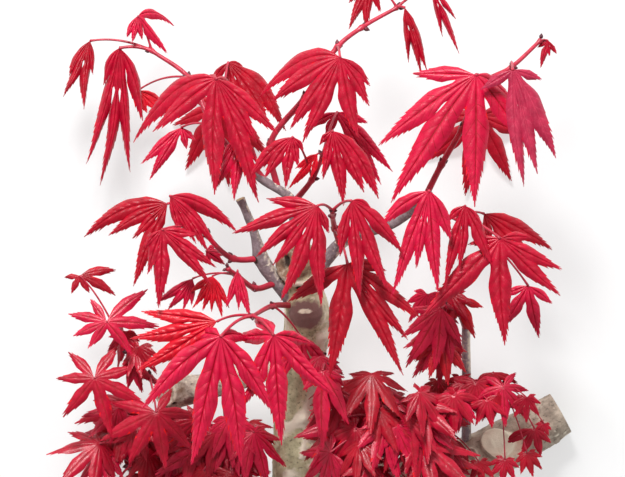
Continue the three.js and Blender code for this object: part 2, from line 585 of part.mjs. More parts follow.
const branch = new THREE.Group();
branch.position.set(...UNDERSIDE).negate();

// Each limb is cut clear of the ones before it
const fatLimbs = [];
for (const [name, limb] of Object.entries(LIMBS)) {
  const clear = fatLimbs.reduce((rest, fat) => rest.subtract(fat), limbSolid(limb));
  fatLimbs.push(limbSolid(limb, CLEARANCE));
  branch.add(meshOf(name, largest(clear.trimByPlane([0, 1, 0], CUT_Y)), limb.finish));
}
for (const [name, { stem, leaves }] of Object.entries(SHOOTS)) {
  branch.add(meshOf(name, shootSolid(stem, leaves, fatLimbs), FINISHES.leaf));
}
for (const [name, spray] of Object.entries(SPRAYS)) {
  branch.add(meshOf(name, shootSolid(spray.stem, sprayLeaves(spray), fatLimbs), FINISHES.leaf));
}

export default branch;
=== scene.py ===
"""A cut branch of a red Japanese maple lying on its back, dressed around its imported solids.

Lengths are millimetres in the branch's layout, angles are degrees, and piece() moves what it
builds into the frame, in metres. The rows of limbs and leaves are those the solids were made from.
"""
import math

import bpy
import numpy as np
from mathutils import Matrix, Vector


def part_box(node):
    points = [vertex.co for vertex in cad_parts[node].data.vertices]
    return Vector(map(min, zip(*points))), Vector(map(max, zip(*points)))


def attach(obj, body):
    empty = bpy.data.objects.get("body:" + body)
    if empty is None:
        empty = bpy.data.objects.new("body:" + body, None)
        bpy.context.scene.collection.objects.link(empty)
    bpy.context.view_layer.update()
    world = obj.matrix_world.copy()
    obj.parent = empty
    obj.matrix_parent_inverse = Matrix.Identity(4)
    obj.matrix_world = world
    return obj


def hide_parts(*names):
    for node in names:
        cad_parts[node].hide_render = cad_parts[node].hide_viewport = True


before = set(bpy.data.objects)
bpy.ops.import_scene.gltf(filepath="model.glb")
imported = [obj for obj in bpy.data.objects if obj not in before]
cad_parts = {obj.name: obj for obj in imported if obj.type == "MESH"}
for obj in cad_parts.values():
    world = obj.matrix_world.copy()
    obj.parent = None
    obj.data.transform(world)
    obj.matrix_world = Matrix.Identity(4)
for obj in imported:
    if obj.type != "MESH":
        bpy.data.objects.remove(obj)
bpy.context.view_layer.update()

CUT_Y = -112  # the sawn foot of the main stem
CUT_RADIUS = 12.5
FOOT_SPARE = 8
UNDERSIDE = np.array([-0.9, -12.36, -0.07])  # the layout's point that is the frame's origin

# Camera: straight down on the lying branch, at the photograph's scale
VIEW_CENTRE = (0.0009, 0.0124)
SHARP_HEIGHT = 0.08  # height of the leaves in focus, where the scale was taken
VIEW_DISTANCE = 4.0
VIEW_WIDTH = 0.25  # what the picture's width takes in at that height
SENSOR = 36

# Shape of a leaf and its lobes, as in the solids
GROWN_LEAF = 50  # length of a grown leaf
LOBE_HALF_WIDTH = 6.2  # of its middle lobe
LENGTH_POWER = 0.75  # how the width of a lobe follows the leaf's length
WIDTH_POWER = 0.6  # how the width of a shorter lobe follows its length
SINUS_WIDTH = 0.75  # width of a lobe where it leaves its neighbour
SINUS_RANGE = (0.08, 0.32)  # nearest and furthest place of that parting
TIP_POWER = 1.5  # how late a lobe narrows to its tip
BLADE_SWELL = (0.9, 0.22)
WEB_EASE = 0.3
WEB_FOLD = 0.3  # share of the lobes' fold that a leaf has at its foot
WEB_RANGE = (0.5, 1.6)  # where the rest of it comes in, of the way to the parting
DROOP_POWER = 0.9
CURVE_STEPS = 40
MIN_RIB_GAP = 4
FULL_ROOM = 30  # angle to the next rib that lets a lobe be as wide as it can be
ROOM_POWER = 0.35
BACK_GAP = 44
SPRAY_PAIRS = 3
SPRAY_CUP = 20
SPRAY_FOLD = 18
HANGING = (12, 0, 14, 0.3, 18)  # tip, turn, cup, droop and fold of the small blurred leaves

# Fine form of a leaf, millimetres unless said otherwise. Pairs of numbers are the least and the most
BLADE_HALF_THICKNESS = 0.1
RIB_SWELL = 0.28  # how far the midrib stands out below
RIB_GROOVE = 0.26  # and how deep it lies on top
RIB_WIDTH = 0.09  # width of that groove, of half the lobe's width
SWELL_WIDTH = 1.3 * RIB_WIDTH  # and of the rib below
CROWN = 0.12  # rise of each half of a lobe, of its width
QUILT = 0.4  # height of the cushions between the side veins of a grown leaf
CRINKLE = {  # and of some masses' leaves, of that height
    "front_left": 2.2, "middle": 1.7, "left": 1.4, "upper_left": 0.7, "top_middle": 0.6, "right": 0.5,
}
CUSHION_RANGE = (0.6, 1.2)  # of that height, from cushion to cushion
WEB_CUSHION = 0.7  # and where the web meets them
WEB_SHARE = 0.2  # share of a leaf's length that is taken for its web, to count the rows there
VEIN_SLANT = (0.75, 1.0)  # how far forward a side vein runs, of the way it goes outwards
SLANT_FULL = 0.18  # where past the parting it does so in full
TOOTH_LENGTH = 3.9
TOOTH_RANGE = (0.7, 1.35)  # of that length, from tooth to tooth
TOOTH_SHRINK = (1.2, 0.75)  # and at the parting and the tip
TOOTH_DEPTH = (0.5, 1.4)  # how deep a tooth is cut, of the steps below
TOOTH_START = 0.2  # where the teeth begin past the parting, and where they are full
TOOTH_FULL = 0.7
TOOTH_ROWS = np.array([0, 0.3, 0.55, 0.78, 0.84])  # a tooth's rows, the last two beside its vein
TOOTH_STEPS = np.array([-0.07, -0.02, 0.03, 0.08, 0.09])  # how far out each stands, of half the width
TOOTH_HOOK = np.array([0, 0.05, 0.18, 0.4, 0.44])  # and how far forward, of the tooth's length
VEIN_ROW = 3
WAVE = 0.8  # slow bend of the margins, up and down
WAVE_TURNS = (0.8, 1.5)  # how often they do so along a lobe
TWIST = 24  # furthest turn of a lobe about its rib, in degrees
BEND = 0.05  # furthest swing of its tip sideways, of its length
FINE_COLUMNS = (0, 0.07, 0.22, 0.5, 0.8, 1)  # from the rib to the margin, on leaves in focus
PLAIN_COLUMNS = (0, 0.12, 0.55, 1)  # and in the blurred masses
FINE_ROW = 1.1  # between the rows of the web
PLAIN_ROW = 2.2
PLAIN_TOOTH = 1.5  # how much longer the teeth of the blurred masses' leaves are

DOWN = np.array([0.0, -1.0, 0.0])
UP_FRONT = np.array([0.0, 0.0, 1.0])

CLEARANCE = 0.3  # gap that the solids keep to a limb
RULE_STEPS = 20  # steps along a rib when a leaf is tested against the limbs
ROUND_END = np.array([(0.5, 0.85), (0.8, 0.45)])
SHOOT_RADIUS = (1.4, 0.8)
SHOOT_SIDES = 10
SHOOT_STEPS = 24  # for each point of its stem, before its rings are dealt out
SHOOT_SPACING = 0.8
NODE_SWELL = (0.45, 1.1)  # rise and length of a shoot's swelling where a leaf leaves it
STALK_RADIUS = (0.75, 0.55)
STALK_FOOT = (0.35, 0.08)  # rise of the swelling at its foot, and its length, of the stalk's
STALK_HEAD = (0.22, 0.06)
STALK_ARCH = 0.16
STALK_RINGS = 22
STALK_SIDES = 8
BUD_WIDTH = 0.36  # of its length
BUD_LENGTH = (1.6, 2.6)
TUBE_DOME = 0.6  # height of a tube's end, of its radius
SHARP_EDGE = 75  # faces that meet at more than this many degrees aren't shaded as one

SAWN_RINGS = 8
DOME_RINGS = 16
DOME_HEIGHT = 0.85
LIMB_GRID = {"bark": (0.6, 120), "twig": (0.45, 40)}  # distance between a limb's rings, and its sides
LIMB_STEPS = 400  # along a limb's line before its rings are dealt out
LIMB_SEED = 10  # from one limb to the next
MASS_SEED = 100  # of the first mass
# Bark marks: hollow is painted shade in pits and crevices, plum is a plum tone that is also painted shadow
# beside the left bough's knob, and pale is pale bark together with a side painted as lit
BARK_TINTS = {
    "pale": "#e4dac6", "plum": "#84645f", "rust": "#7d6450", "wood": "#f4ecd4", "hollow": "#33261f",
}

SKY_LIGHT = (0.45, 1.42)  # of the surroundings, towards the foot and towards the top
SKY_RANGE = (0, 0.9)
SKY_GLOSS = 0.1  # share of that light that shines back from gloss
KEY_PLACE = (-0.15, 0.8, 1.0)
KEY_SIZE = 0.35
KEY_POWER = 20
FLOOR_HALF = 4
FLOOR_GLOW = 0.58
WHITE = (1, 1, 1, 1)

# What stands out of the bark or lies in it: kind, middle (or both ends of a ridge), radius, height and
# how far it is stretched along each axis
FEATURES = {
    "main_stem": [
        ("knob", (-2.7, -30, 44), 7, 1.4), ("plum", (-2.7, -30, 44), 9, 1.1),
        ("wood", (-3, -28.7, 46), 1.9, 0.8, (1.7, 0.75, 2)),
        ("knob", (-3, -28.7, 46), 1.4, 0.25, (1.7, 0.75, 1)),
        ("ridge", ((-9, -39, 39), (5, -40, 38)), 2.4, 1.2),
        ("ridge", ((-11, -26, 40), (-9, -36, 39)), 1.6, 0.6),
        ("ridge", ((2, -61, 33), (-3, -73, 31)), 2.8, 1),
        ("ridge", ((-3, -73, 31), (-13, -77, 27)), 2.2, 0.8),
        ("ridge", ((-3, -73, 31), (3, -83, 24)), 2.6, 1),
        ("ridge", ((3, -83, 24), (1, -92, 22)), 2.8, 1.1),
        ("ridge", ((1, -92, 22), (-10, -96, 24)), 2.6, 1),
        ("ridge", ((-3, -81, 29), (-4, -88, 27)), 1.4, 0.6), ("rim", (-5, -11, 52), 8, 0.9, (1, 0.9, 1)),
        ("rust", (-6, -9, 50), 12, 0.9, (1, 0.9, 1)), ("pit", (-10.5, -9.5, 51), 3, 2.6, (0.7, 1.4, 1.5)),
        ("rim", (-10.5, -9.5, 51), 4, 0.9, (0.8, 1.4, 1.5)), ("knob", (-4, -13, 53), 2.2, 1.3),
        ("knob", (-6, -7, 54), 2.4, 1.4), ("knob", (0, -10, 53), 2.4, 1.2),
        ("pit", (-2.5, -9, 54), 1.3, 1), ("ridge", ((-9, -17, 50), (2, -17, 50)), 1.4, 1),
        ("pit", (-4, -20, 50), 2, 1.3, (2.2, 0.7, 1)),
    ],
    # Its plum patch is painted shadow beside a knob, and its hollow painted shade in a hole
    "left_bough": [
        ("pit", (-56, -67, 29), 1.3, 1), ("plum", (-49, -66, 29), 3.5, 0.8, (1.4, 1, 1)),
        ("knob", (-52, -59, 32), 4, 1.1), ("knob", (-42, -58, 30), 3, 0.8),
        ("pale", (-44, -60, 31), 9, 0.6), ("rim", (-60, -63, 30), 4.5, 0.8),
        ("hollow", (-64, -62, 26), 3.5, 0.8), ("knob", (-34, -60, 30), 3, 0.7),
        ("pale", (-30, -57, 30), 9, 0.5), ("rust", (-55, -62, 30), 6, 0.6),
        ("knob", (-58, -58, 30), 3, 1.2), ("knob", (-47, -62, 30), 2.5, 0.8),
    ],
    "right_bough": [
        ("table", (75, -83, 22), 5.4, 3.4, (1.25, 1, 2)), ("pit", (76, -86, 24), 1.1, 0.8, (4, 0.7, 1)),
        ("wood", (79, -85, 21), 9, 1), ("knob", (64.6, -88, 20), 4, 2), ("rim", (64.6, -88, 21), 2.6, 0.7),
        ("pit", (64.6, -88, 22), 1.2, 0.8), ("knob", (46, -94, 20), 5, 1), ("pale", (52, -94, 20), 6, 0.8),
        ("knob", (96, -70, 18), 5, 0.8), ("rim", (30, -97, 21), 4, 0.6),
    ],
    # Its hollow by the first knob is painted shade in a hole
    "left_twig": [
        ("knob", (-22, -8, 50), 2.2, 1.1), ("hollow", (-23, -8.5, 51), 2.4, 1),
        ("pit", (-23.5, -8, 51.5), 1, 0.6), ("knob", (-12, -20, 46), 1.8, 0.6),
        ("pale", (-9, -25, 43), 2.6, 1), ("knob", (-29, 15.5, 56), 1.8, 0.7),
        ("pale", (-30, 16, 57.5), 1.2, 1),
    ],
}

# Tints of a mass's leaves, taken in turn, and those of the masses that aren't named here. The one red is
# dealt as lit and shaded copies: rose is painted light, deep is painted shade and scarlet a painted glow of
# light through the leaf; right_far's leaves take lighter tints against the shade they stand in
MASS_TINTS = {
    "upper_left": ("deep", "crimson", "rose_painted_light", "scarlet_painted_glow", "rose_painted_light", "deep"),
    "middle_left": ("crimson", "deep", "rose_painted_light"),
    "top_middle": ("crimson", "deep", "deep", "crimson"),
    "middle": ("crimson", "crimson", "rose_painted_light", "scarlet_painted_glow"),
    "front_middle": ("crimson", "crimson", "deep"),
    "right": ("rose_painted_light", "wine", "crimson", "deep"),
    "right_middle": ("rose_painted_light", "crimson", "crimson", "deep", "rose_painted_light"),
    "left": ("crimson", "crimson", "deep", "rose_painted_light"),
    "young_left": ("rose_painted_light", "scarlet_painted_glow", "rose_painted_light"),
    "front_left": ("rose_painted_light", "scarlet_painted_glow", "rose_painted_light"),
    "stem_sprout": ("rose_painted_light",),
    "low_left": ("rose_painted_light", "deep", "crimson", "crimson"),
    "right_far": ("rose_painted_light", "scarlet_painted_glow", "rose_painted_light", "crimson"),
    "low_right_far": ("crimson", "rose_painted_light", "deep", "crimson", "deep", "crimson"),
}
SPRAY_TINTS = ("rose_painted_light", "crimson", "deep", "crimson", "rose_painted_light", "crimson", "deep")

# Limbs: finish, steps of its solid, whether its end is round, and [x, y, z, radius] down its middle,
# from its foot to its end
LIMBS = {
    "main_stem": ("bark", 14, True, [
        [-5, CUT_Y - FOOT_SPARE, 11.8, CUT_RADIUS], [-5, -96, 14, 11.6], [-6, -73, 20, 9.8],
        [-4, -49, 27, 9.2], [-2, -33, 35, 9.4], [-4, -19, 42, 7.6], [-5, -9, 46, 8.6],
    ]),
    "left_bough": ("bark", 6, True, [
        [-6, -49, 27, 4.6], [-22, -54, 26, 4.6], [-38, -59, 25, 5.2], [-58, -63, 24, 6.6],
    ]),
    "right_bough": ("bark", 8, False, [
        [-4, -99, 13, 10.4], [20, -101, 11.5, 11], [46, -98, 11, 10.8], [76, -85, 10.5, 10.4],
        [101, -71, 9.6, 9.4],
    ]),
    "far_twig": ("twig", 5, False, [
        [62.5, -86, 14, 2.0], [62.5, -60, 24, 1.8], [62, -30, 31, 1.6],
    ]),
    "left_twig": ("twig", 8, False, [
        [-7, -27, 40, 2.9], [-15, -17, 46, 2.7], [-20, -9, 49, 3.1], [-24, 4, 53, 1.8], [-29, 16, 56, 1.7],
    ]),
    "upper_twig": ("twig", 8, False, [
        [-5, -9, 46, 2.6], [-7, 5, 52, 2.2], [-9, 16, 54, 2.1], [-19, 23, 56, 1.8], [-27, 29, 56, 1.5],
    ]),
    "right_twig": ("twig", 8, False, [
        [-1, -18, 42, 3.0], [6, -8, 47, 2.7], [14, 0, 50, 2.4], [32, 6, 54, 2.0], [45, 15, 58, 1.7],
    ]),
}


def fan(spin, spread):
    """The ribs of a plain leaf of seven lobes: [angle from its heading, share of its length]."""
    ribs = [(-128, 0.42), (-88, 0.66), (-44, 0.9), (0, 1), (44, 0.9), (88, 0.66), (128, 0.42)]
    return [(spin + spread * angle, share) for angle, share in ribs]


# Shoots: the line of the stem, then a row for each leaf: its foot, length, tip, turn, cup, droop, fold,
# ribs, and which point of the stem its stalk leaves. A rib is [angle, share of the length], and may
# have a droop and a cup of its own
SHOOTS = {
    "upper_left": (
        [[-26, 28, 56], [-40, 45, 50], [-50, 65, 42], [-65, 76, 36]],
        [[-90, 80, 34], 28, 20, 10, 15, 0.3, 45, [[-50, 0.6, 1], [-28, 0.9], [-10, 1], [8, 0.5, 1]], 3],
        [[-78, 77, 36], 56, 12, 4, 14, 0, 48, [[-62, 0.3, 3], [-12, 0.87, -0.58], [-3, 1.01, -0.75],
            [4, 0.9, -0.6], [42, 0.56, 2.5]], 3],
        [[-70.5, 90, 40], 22, 20, 14, 15, 0.3, 35, [[-45, 0.45, 1.5], [-12, 0.5], [10, 0.45], [44, 0.88],
            [126, 0.98, 1.2]], 3],
        [[-71, 60, 22], 22, 20, 0, 15, 0.3, 20, [[25, 0.45], [56, 0.6, 0.3], [84, 0.62, 0.6]], 2],
        [[-53, 45, 34], 26, 15, 0, 10, 0.1, 25, [[-52, 0.85], [-34, 0.96], [15, 0.35], [50, 0.3]], 1],
        [[-38, 54, 10.6], 34, 15, 0, 28, 0.1, 15, fan(10, 1), 1],
    ),
    "middle_left": (
        [[-19, 23, 56], [-30, 38, 58], [-36, 56, 62]],
        [[-38.5, 64, 80], 54, 14, 0, 14, 0.1, 22, [[-136, 0.36, 0.2, 60], [-108, 0.85, 2.2],
            [-60, 0.62, 0.3], [-4, 0.86], [23, 0.97], [38, 0.56, 0.2], [58, 0.62, 0.35],
            [120, 0.4, 1, 55]], 2],
        [[-34, 71, 48], 34, 22, -6, 20, 0.4, 20, [[-60, 0.35, 1], [10, 0.5], [45, 0.8], [75, 1.1, 1.4],
            [118, 0.35, 2]], 2],
        [[-29, 41, 70], 26, 25, 0, 20, 0.4, 35, [[-60, 0.5, 1], [-30, 0.9], [-6, 1], [20, 0.9],
            [50, 0.5, 1]], 1],
    ),
    "top_middle": (
        [[-14, 20, 55], [-17, 38, 58], [-3, 57, 62], [10, 77, 62], [20, 85, 58], [34, 93, 54]],
        [[11, 72.5, 80], 40, 14, 0, 14, 0.3, 20, [[-115, 1.02, 1.7], [-74, 0.82, 0.6], [-42, 0.88, 0.4],
            [-25, 0.93], [12, 0.82], [40, 0.57], [62, 0.42, 0.5]], 3],
        [[24, 104, 56], 22, 15, 10, 15, 0.2, 30, [[-55, 0.6], [-30, 1], [-12, 0.92], [14, 0.6],
            [45, 0.4]], 5],
        [[37, 93, 58], 31, 6, 0, 6, 0.1, 52, [[6, 0.72], [17, 0.92], [29, 0.9, 0.9]], 5],
        [[48, 101, 56], 29, 6, 0, 6, 0.1, 52, [[15, 0.7], [24, 1], [40, 0.55]], 5],
    ),
    "middle": (
        [[-8, 14, 53], [0, 24, 60], [4, 33, 64]],
        [[-8, 40.5, 91], 24, 14, 0, 14, 0.3, 25, [[-74, 1.0, 1.2], [-42, 0.82, 0.3], [-12, 0.86],
            [12, 0.5], [60, 0.3, 1]], 1],
        [[8, 43, 82], 33, 14, 0, 14, 0.2, 30, [[-75, 0.24, 1.5], [-12, 0.6, 0.5], [10, 0.92],
            [38, 0.84, 0.7], [68, 1.02, 2]], 2],
        [[10, 51, 46], 33, 15, 0, 15, 0.3, 20, [[-75, 0.4], [-30, 0.35], [37, 1.04], [51, 1], [80, 0.4]], 2],
        [[2, 34, 70], 17, 15, -20, 15, 0.2, 30, [[-70, 0.7], [-48, 1.15], [-20, 0.6]], 2],
    ),
    "front_middle": (
        [[11, -2, 50], [9, 4, 60], [8, 9, 72], [8, 11, 82]],
        [[2, 13, 98], 39, 12, 0, 12, 0.1, 30, [[-104, 0.55], [-79, 0.93], [-56, 0.82], [-40, 0.76],
            [-20, 1.04], [0, 1.03], [32, 0.3, 1]], 3],
        [[15.5, 15, 96], 41, 12, 0, 12, 0.1, 32, [[-16, 0.55, 0.2], [7, 0.94], [24, 0.96],
            [68, 0.73, 1.3], [110, 0.25, 1.5]], 3],
        [[14, -10, 84], 41, 14, -4, 14, 0.1, 18, [[-62, 0.7], [-9, 1.12], [30, 1.22], [40, 0.95],
            [59, 0.9], [100, 0.4, 0.5]], 1],
    ),
    "right": (
        [[44, 14, 58], [52, 30, 58], [60, 44, 58], [68, 62, 56], [80, 69, 52], [92, 80, 46]],
        [[65.5, 65.5, 76], 54, 12, 0, 12, 0, 20, [[-96, 0.48], [-66, 0.9, 0.5], [-42, 1.14, 0.6],
            [0, 0.98], [46, 0.64, 0.6], [100, 0.45, 1, 45]], 3],
        [[80, 67.5, 82], 42, 14, 0, 14, 0.2, 25, [[-64, 0.36], [3, 1.12], [15, 1.02], [42, 0.94, 1.5],
            [80, 0.3]], 4],
        [[95, 80, 46], 13, 12, 0, 12, 0.2, 35, [[-60, 0.4], [-19, 0.9], [5, 0.5], [35, 0.5]], 5],
        [[68, 50, 10.8], 34, 15, 0, 28, 0.1, 15, fan(-12, 1), 3],
    ),
    "right_middle": (
        [[41, 12, 57], [50, 10, 64], [58, 8, 70]],
        [[46.5, 19, 90], 43, 12, 0, 12, 0, 25, [[-74, 0.56, 0.6], [-22, 1.05], [-11, 0.73], [4, 0.95],
            [44, 0.5, 2.2]], 1],
        [[61, 13, 84], 32, 14, 0, 14, 0, 28, [[-80, 0.33, 1.2], [-17, 1.03], [-4, 0.78], [30, 0.8, 0.3],
            [62, 0.35, 1.5]], 2],
        [[75, 0, 82], 45, 12, 0, 12, 0, 20, [[-95, 0.3, 0.5], [-46, 1.0], [0, 0.95], [46, 0.74],
            [65, 0.62], [110, 0.3, 0.5]], 2],
        [[69, 10, 54], 32, 15, 0, 15, 0.3, 20, [[15, 0.4], [50, 0.95], [82, 1, 0.7]], 2],
        [[87, -19, 46], 27, 12, 0, 12, 0.1, 20, [[-75, 0.4], [-32, 0.74], [12, 0.8], [60, 0.45]], 2],
    ),
    "left": (
        [[-20, -8, 49], [-32, -8, 56], [-42, 1, 66], [-49, 13, 72]],
        [[-60, 3.5, 92], 34, 12, 0, 12, 0.1, 20, [[-65, 0.3, 1], [-24, 0.55, 0.3], [-1, 0.92], [46, 0.86],
            [59, 0.78], [86, 0.42]], 2],
        [[-57, 17, 82], 32, 14, 0, 12, 0.2, 35, [[16, 0.5], [30, 0.68], [42, 0.86], [57, 0.88, 0.5],
            [98, 1, 1.3]], 3],
        [[-58, 14, 76], 31, 12, 0, 10, 0.1, 25, [[-101, 1.24, 1], [-74, 0.88, 0.3], [-50, 0.64],
            [-30, 1.16, 0.4]], 3],
        [[-43, -5, 50], 14, 15, 0, 15, 0.2, 15, [[20, 0.4], [62, 0.7], [90, 0.65], [130, 0.4]], 1],
    ),
    "young_left": (
        [[-15, -18, 46], [-23, -20, 56], [-30, -15, 66], [-34, -12, 72]],
        [[-48, -16, 76], 18, 12, 0, 10, 0.1, 35, [[-58, 0.98], [-38, 0.9], [-18, 0.75], [-2, 0.6]], 2],
        [[-40, -15, 78], 18, 12, 0, 10, 0.1, 35, [[-58, 0.62], [-32, 0.85], [-14, 0.8], [1, 0.8],
            [14, 0.95], [30, 0.8]], 2],
        [[-30, -13, 80], 21, 10, 0, 5, 0.1, 35, [[-16, 0.72], [2, 0.75], [16, 0.95]], 2],
    ),
    "front_left": (
        [[-8, -27, 40], [-16, -27, 60], [-24, -31, 84]],
        [[-36.5, -39, 104], 50, 10, 0, 12, 0, 22, [[-128, 0.66, 0.5, 54], [-64, 0.88, 0.6], [-14, 1.05],
            [12, 1.04], [44, 0.72, 0.4], [128, 0.5, 0.5, 54]], 2],
        [[-38, -33, 92], 36, 10, 0, 10, 0, 18, [[-100, 0.87], [-78, 1], [-58, 1.06]], 2],
        [[-15.5, -38.5, 100], 44, 10, 0, 12, 0, 22, [[-156, 0.6, 0.3, 50], [-108, 0.62, 0.3, 50],
            [-22, 0.72], [4, 1.0], [44, 0.82], [62, 0.47, 0.5], [102, 0.5, 0.5, 40]], 2],
    ),
    "stem_sprout": (
        [[-2, -44, 32], [4, -47, 44], [5, -50, 54]],
        [[4, -53, 62], 32, 14, 0, 12, 0.1, 25, [[-50, 0.35], [-2, 1], [31, 0.75], [75, 0.3]], 2],
    ),
    "low_left": (
        [[-57, -62, 25], [-66, -56, 33], [-74, -46, 38], [-80, -36, 40]],
        [[-83, -33.5, 48], 24, 10, 0, 10, 0.1, 20, [[-145, 0.5], [-108, 0.68], [-72, 0.62], [-35, 0.55],
            [42, 0.7], [92, 0.9], [135, 0.92]], 3],
        [[-94, -15, 40], 16, 10, 0, 10, 0.2, 20, [[-90, 0.4], [-30, 0.5], [30, 0.5], [80, 1.05, 0.7],
            [110, 0.95]], 3],
        [[-88, -56.3, 46], 29, 10, 0, 12, 0.1, 20, [[-140, 0.55], [-95, 0.55], [-40, 0.7], [20, 0.86],
            [68, 0.8], [108, 0.6], [148, 0.6]], 1],
        [[-63, -70, 48], 26, 12, 0, 15, 0.2, 20, [[-110, 0.8], [-70, 1], [-30, 0.9], [10, 0.9], [50, 0.8],
            [95, 0.7], [150, 0.5]], 1],
    ),
    "right_far": (
        [[62, -36, 30], [59, -30, 38], [54, -27, 44]],
        [[52, -28, 48], 28, 12, 0, 14, 0.2, 18, [[-95, 0.5], [-60, 0.72], [-32, 1], [-5, 0.9], [30, 0.6]], 2],
        [[59, -24, 40], 22, 12, 0, 14, 0.2, 18, [[-120, 0.5], [-20, 0.6], [25, 0.8], [75, 0.5]], 1],
        [[55, -35, 34], 26, 12, 0, 14, 0.2, 18, [[-70, 0.8], [-38, 1], [-8, 1], [22, 0.6]], 1],
    ),
    "low_right_far": (
        [[50, -94, 14], [55, -78, 26], [66, -64, 32], [76, -58, 34]],
        [[66, -58, 40], 17, *HANGING, [[-110, 0.7], [-65, 0.9], [-25, 0.9], [15, 0.95], [60, 0.8],
            [110, 0.7]], 2],
        [[77, -60, 42], 18, *HANGING, [[-130, 0.55], [-80, 0.7], [-35, 0.85], [5, 0.9], [45, 0.85],
            [95, 0.6], [150, 0.5]], 3],
        [[73, -54, 38], 14, *HANGING, [[-70, 0.6], [-25, 0.7], [30, 0.7], [75, 0.8]], 3],
        [[57, -63, 52], 18, *HANGING, [[-80, 0.8], [-40, 1], [0, 0.95], [40, 0.8], [90, 0.6]], 2],
        [[56, -80, 30], 20, *HANGING, [[-90, 0.7], [-45, 0.95], [0, 1], [40, 0.7]], 1],
        [[70.5, -65, 44], 13, *HANGING, [[-75, 0.8], [-30, 0.9], [12, 0.9], [55, 0.8]], 2],
        [[90, -77, 26], 15, *HANGING, [[-75, 1], [-30, 0.8], [15, 0.8], [55, 0.6]], 3],
    ),
}

# Sprays behind the front shoots: seed, reach of the stalks, length of the leaves, and the stem that has
# them in pairs
SPRAYS = {
    "low_left_far": (11, 15, 28, [[-55, -66, 23.5], [-66, -80, 20.5], [-74, -92, 19.7]]),
    "low_middle": (5, 14, 26, [[-36, -60, 22], [-34, -78, 30], [-30, -90, 32]]),
    "low_right": (7, 16, 28, [[32, -98, 16], [30, -88, 42], [26, -66, 52]]),
}

# Small leaves that the solids of placed masses leave out, in the same rows
SMALL_LEAVES = {
    "front_left": [
        [[-5, -39, 54], 23, *HANGING, [[-70, 0.7], [-28, 0.9], [8, 1], [48, 0.75]], 1],
    ],
    "low_right_far": [
        [[58, -92, 33], 11, *HANGING, fan(-12, 0.9), 1],
        [[67.5, -90.5, 31], 10, *HANGING, fan(10, 0.9), 1],
        [[78, -89.5, 29], 10.5, *HANGING, fan(-8, 0.9), 3],
        [[87, -87, 28], 10, *HANGING, fan(14, 0.85), 3],
        [[94, -75, 25], 6, *HANGING, fan(-20, 0.9), 3],
    ],
}

# Smaller leaves that fill a mass: seed, how many are tried and kept at most, stalk reach and length
FILLING = {
    "low_left_far": (21, 160, 22, 15, 27),
    "low_middle": (22, 160, 16, 14, 26),
    "low_right": (23, 500, 38, 24, 26),
    "low_right_far": (24, 600, 20, 26, 17),
    "low_left": (25, 80, 5, 10, 18),
    "right_far": (27, 240, 9, 18, 24),
    "stem_sprout": (28, 300, 5, 10, 15),
}
WOUND = ((64, -90, 20), (83, -74, 60))  # corners of the space kept free over the bough's bare wood

# Finishes of leaves and stalks: two tints, roughness, specular level. Crimson, wine, the pale veins and the
# stalks have tints as they look in even white light; rose is the red painted lighter as if lit, deep is
# painted shade, scarlet and the underside are a painted glow of light through the leaf, and the dark veins
# are painted shade in their grooves
LEAF_FINISHES = {
    "leaf_crimson": ("#b2012a", "#980120", 0.36, 0.45),
    "leaf_rose_painted_light": ("#c40a3a", "#ac052e", 0.36, 0.45),
    "leaf_deep": ("#a80120", "#8c0018", 0.36, 0.45),
    "leaf_wine": ("#ae2444", "#941a38", 0.36, 0.45),
    "leaf_scarlet_painted_glow": ("#c80422", "#b0021a", 0.36, 0.45),
    "vein_painted_shade": ("#a0061e", "#8a0418", 0.5, 0.3),
    "vein_pale": ("#c03c58", "#a83048", 0.5, 0.3),
    "leaf_under_painted_glow": ("#dc101c", "#c4080e", 0.55, 0.25),
}
LEAF_PLACES = list(LEAF_FINISHES)
VEINS = {"wine": "vein_pale"}  # of the leaves whose veins are pale, not dark with painted groove shade
STALK_FINISHES = {
    "stalk": ("#bc2a42", "#9a2034", 0.38, 0.5),
    "bud": ("#6a2c36", "#4c1c28", 0.45, 0.5),
}
STALK_PLACES = list(STALK_FINISHES)

# Their skins: scale and detail of the tints' clouds and where they end, scale of the gloss and how dull
# it gets, scale and detail of the grain, its strength and its depth in metres
LEAF_SKIN = (260, 4, 0.68, 700, 0.1, 1500, 3, 0.4, 0.0003)
STALK_SKIN = (220, 3, 0.65, 900, 0.12, 1800, 2, 0.25, 0.0002)

# Bark of each limb: two greys and how many of their clouds go to the metre
LIMB_TINTS = {
    "main_stem": ("#d0c8a4", "#9c9678", 200),
    "left_bough": ("#dccfbe", "#82746a", 260),
    "right_bough": ("#c2b2a0", "#8f8274", 200),
    "far_twig": ("#a7a2a8", "#8b858d", 420),
    "left_twig": ("#93868a", "#6f6165", 420),
    "upper_twig": ("#93868a", "#6f6165", 420),
    "right_twig": ("#8d8084", "#6b5d61", 420),
}

# Tints of the bark's specks, of two growth rings and of the bark round them
SPECK_TINT = "#5c5348"
WOOD_TINTS = ("#d9c6a0", "#b3966a", "#6a5c4c")
GROWTH_RING = 0.06  # width of a ring, of the limb's radius


class Dice:
    """Random numbers that come out as they did for the solids."""

    def __init__(self, seed):
        self.state = seed
        self.roll(0, 1)

    def roll(self, low, high):
        self.state = self.state * 16807 % 2147483647
        return low + (high - low) * self.state / 2147483647


class Batch:
    """Points and faces gathered for one piece. A face is four corners, or three and a -1."""

    def __init__(self):
        self.points, self.faces, self.slots, self.marks, self.count = [], [], [], {}, 0

    def add(self, points, faces, slots, **marks):
        points = np.asarray(points, float).reshape(-1, 3)
        self.points.append(points)
        self.faces.append(np.where(faces < 0, -1, faces + self.count))
        self.slots.append(np.broadcast_to(slots, len(faces)))
        for name, values in marks.items():
            self.marks.setdefault(name, []).append(np.broadcast_to(values, len(points)))
        self.count += len(points)


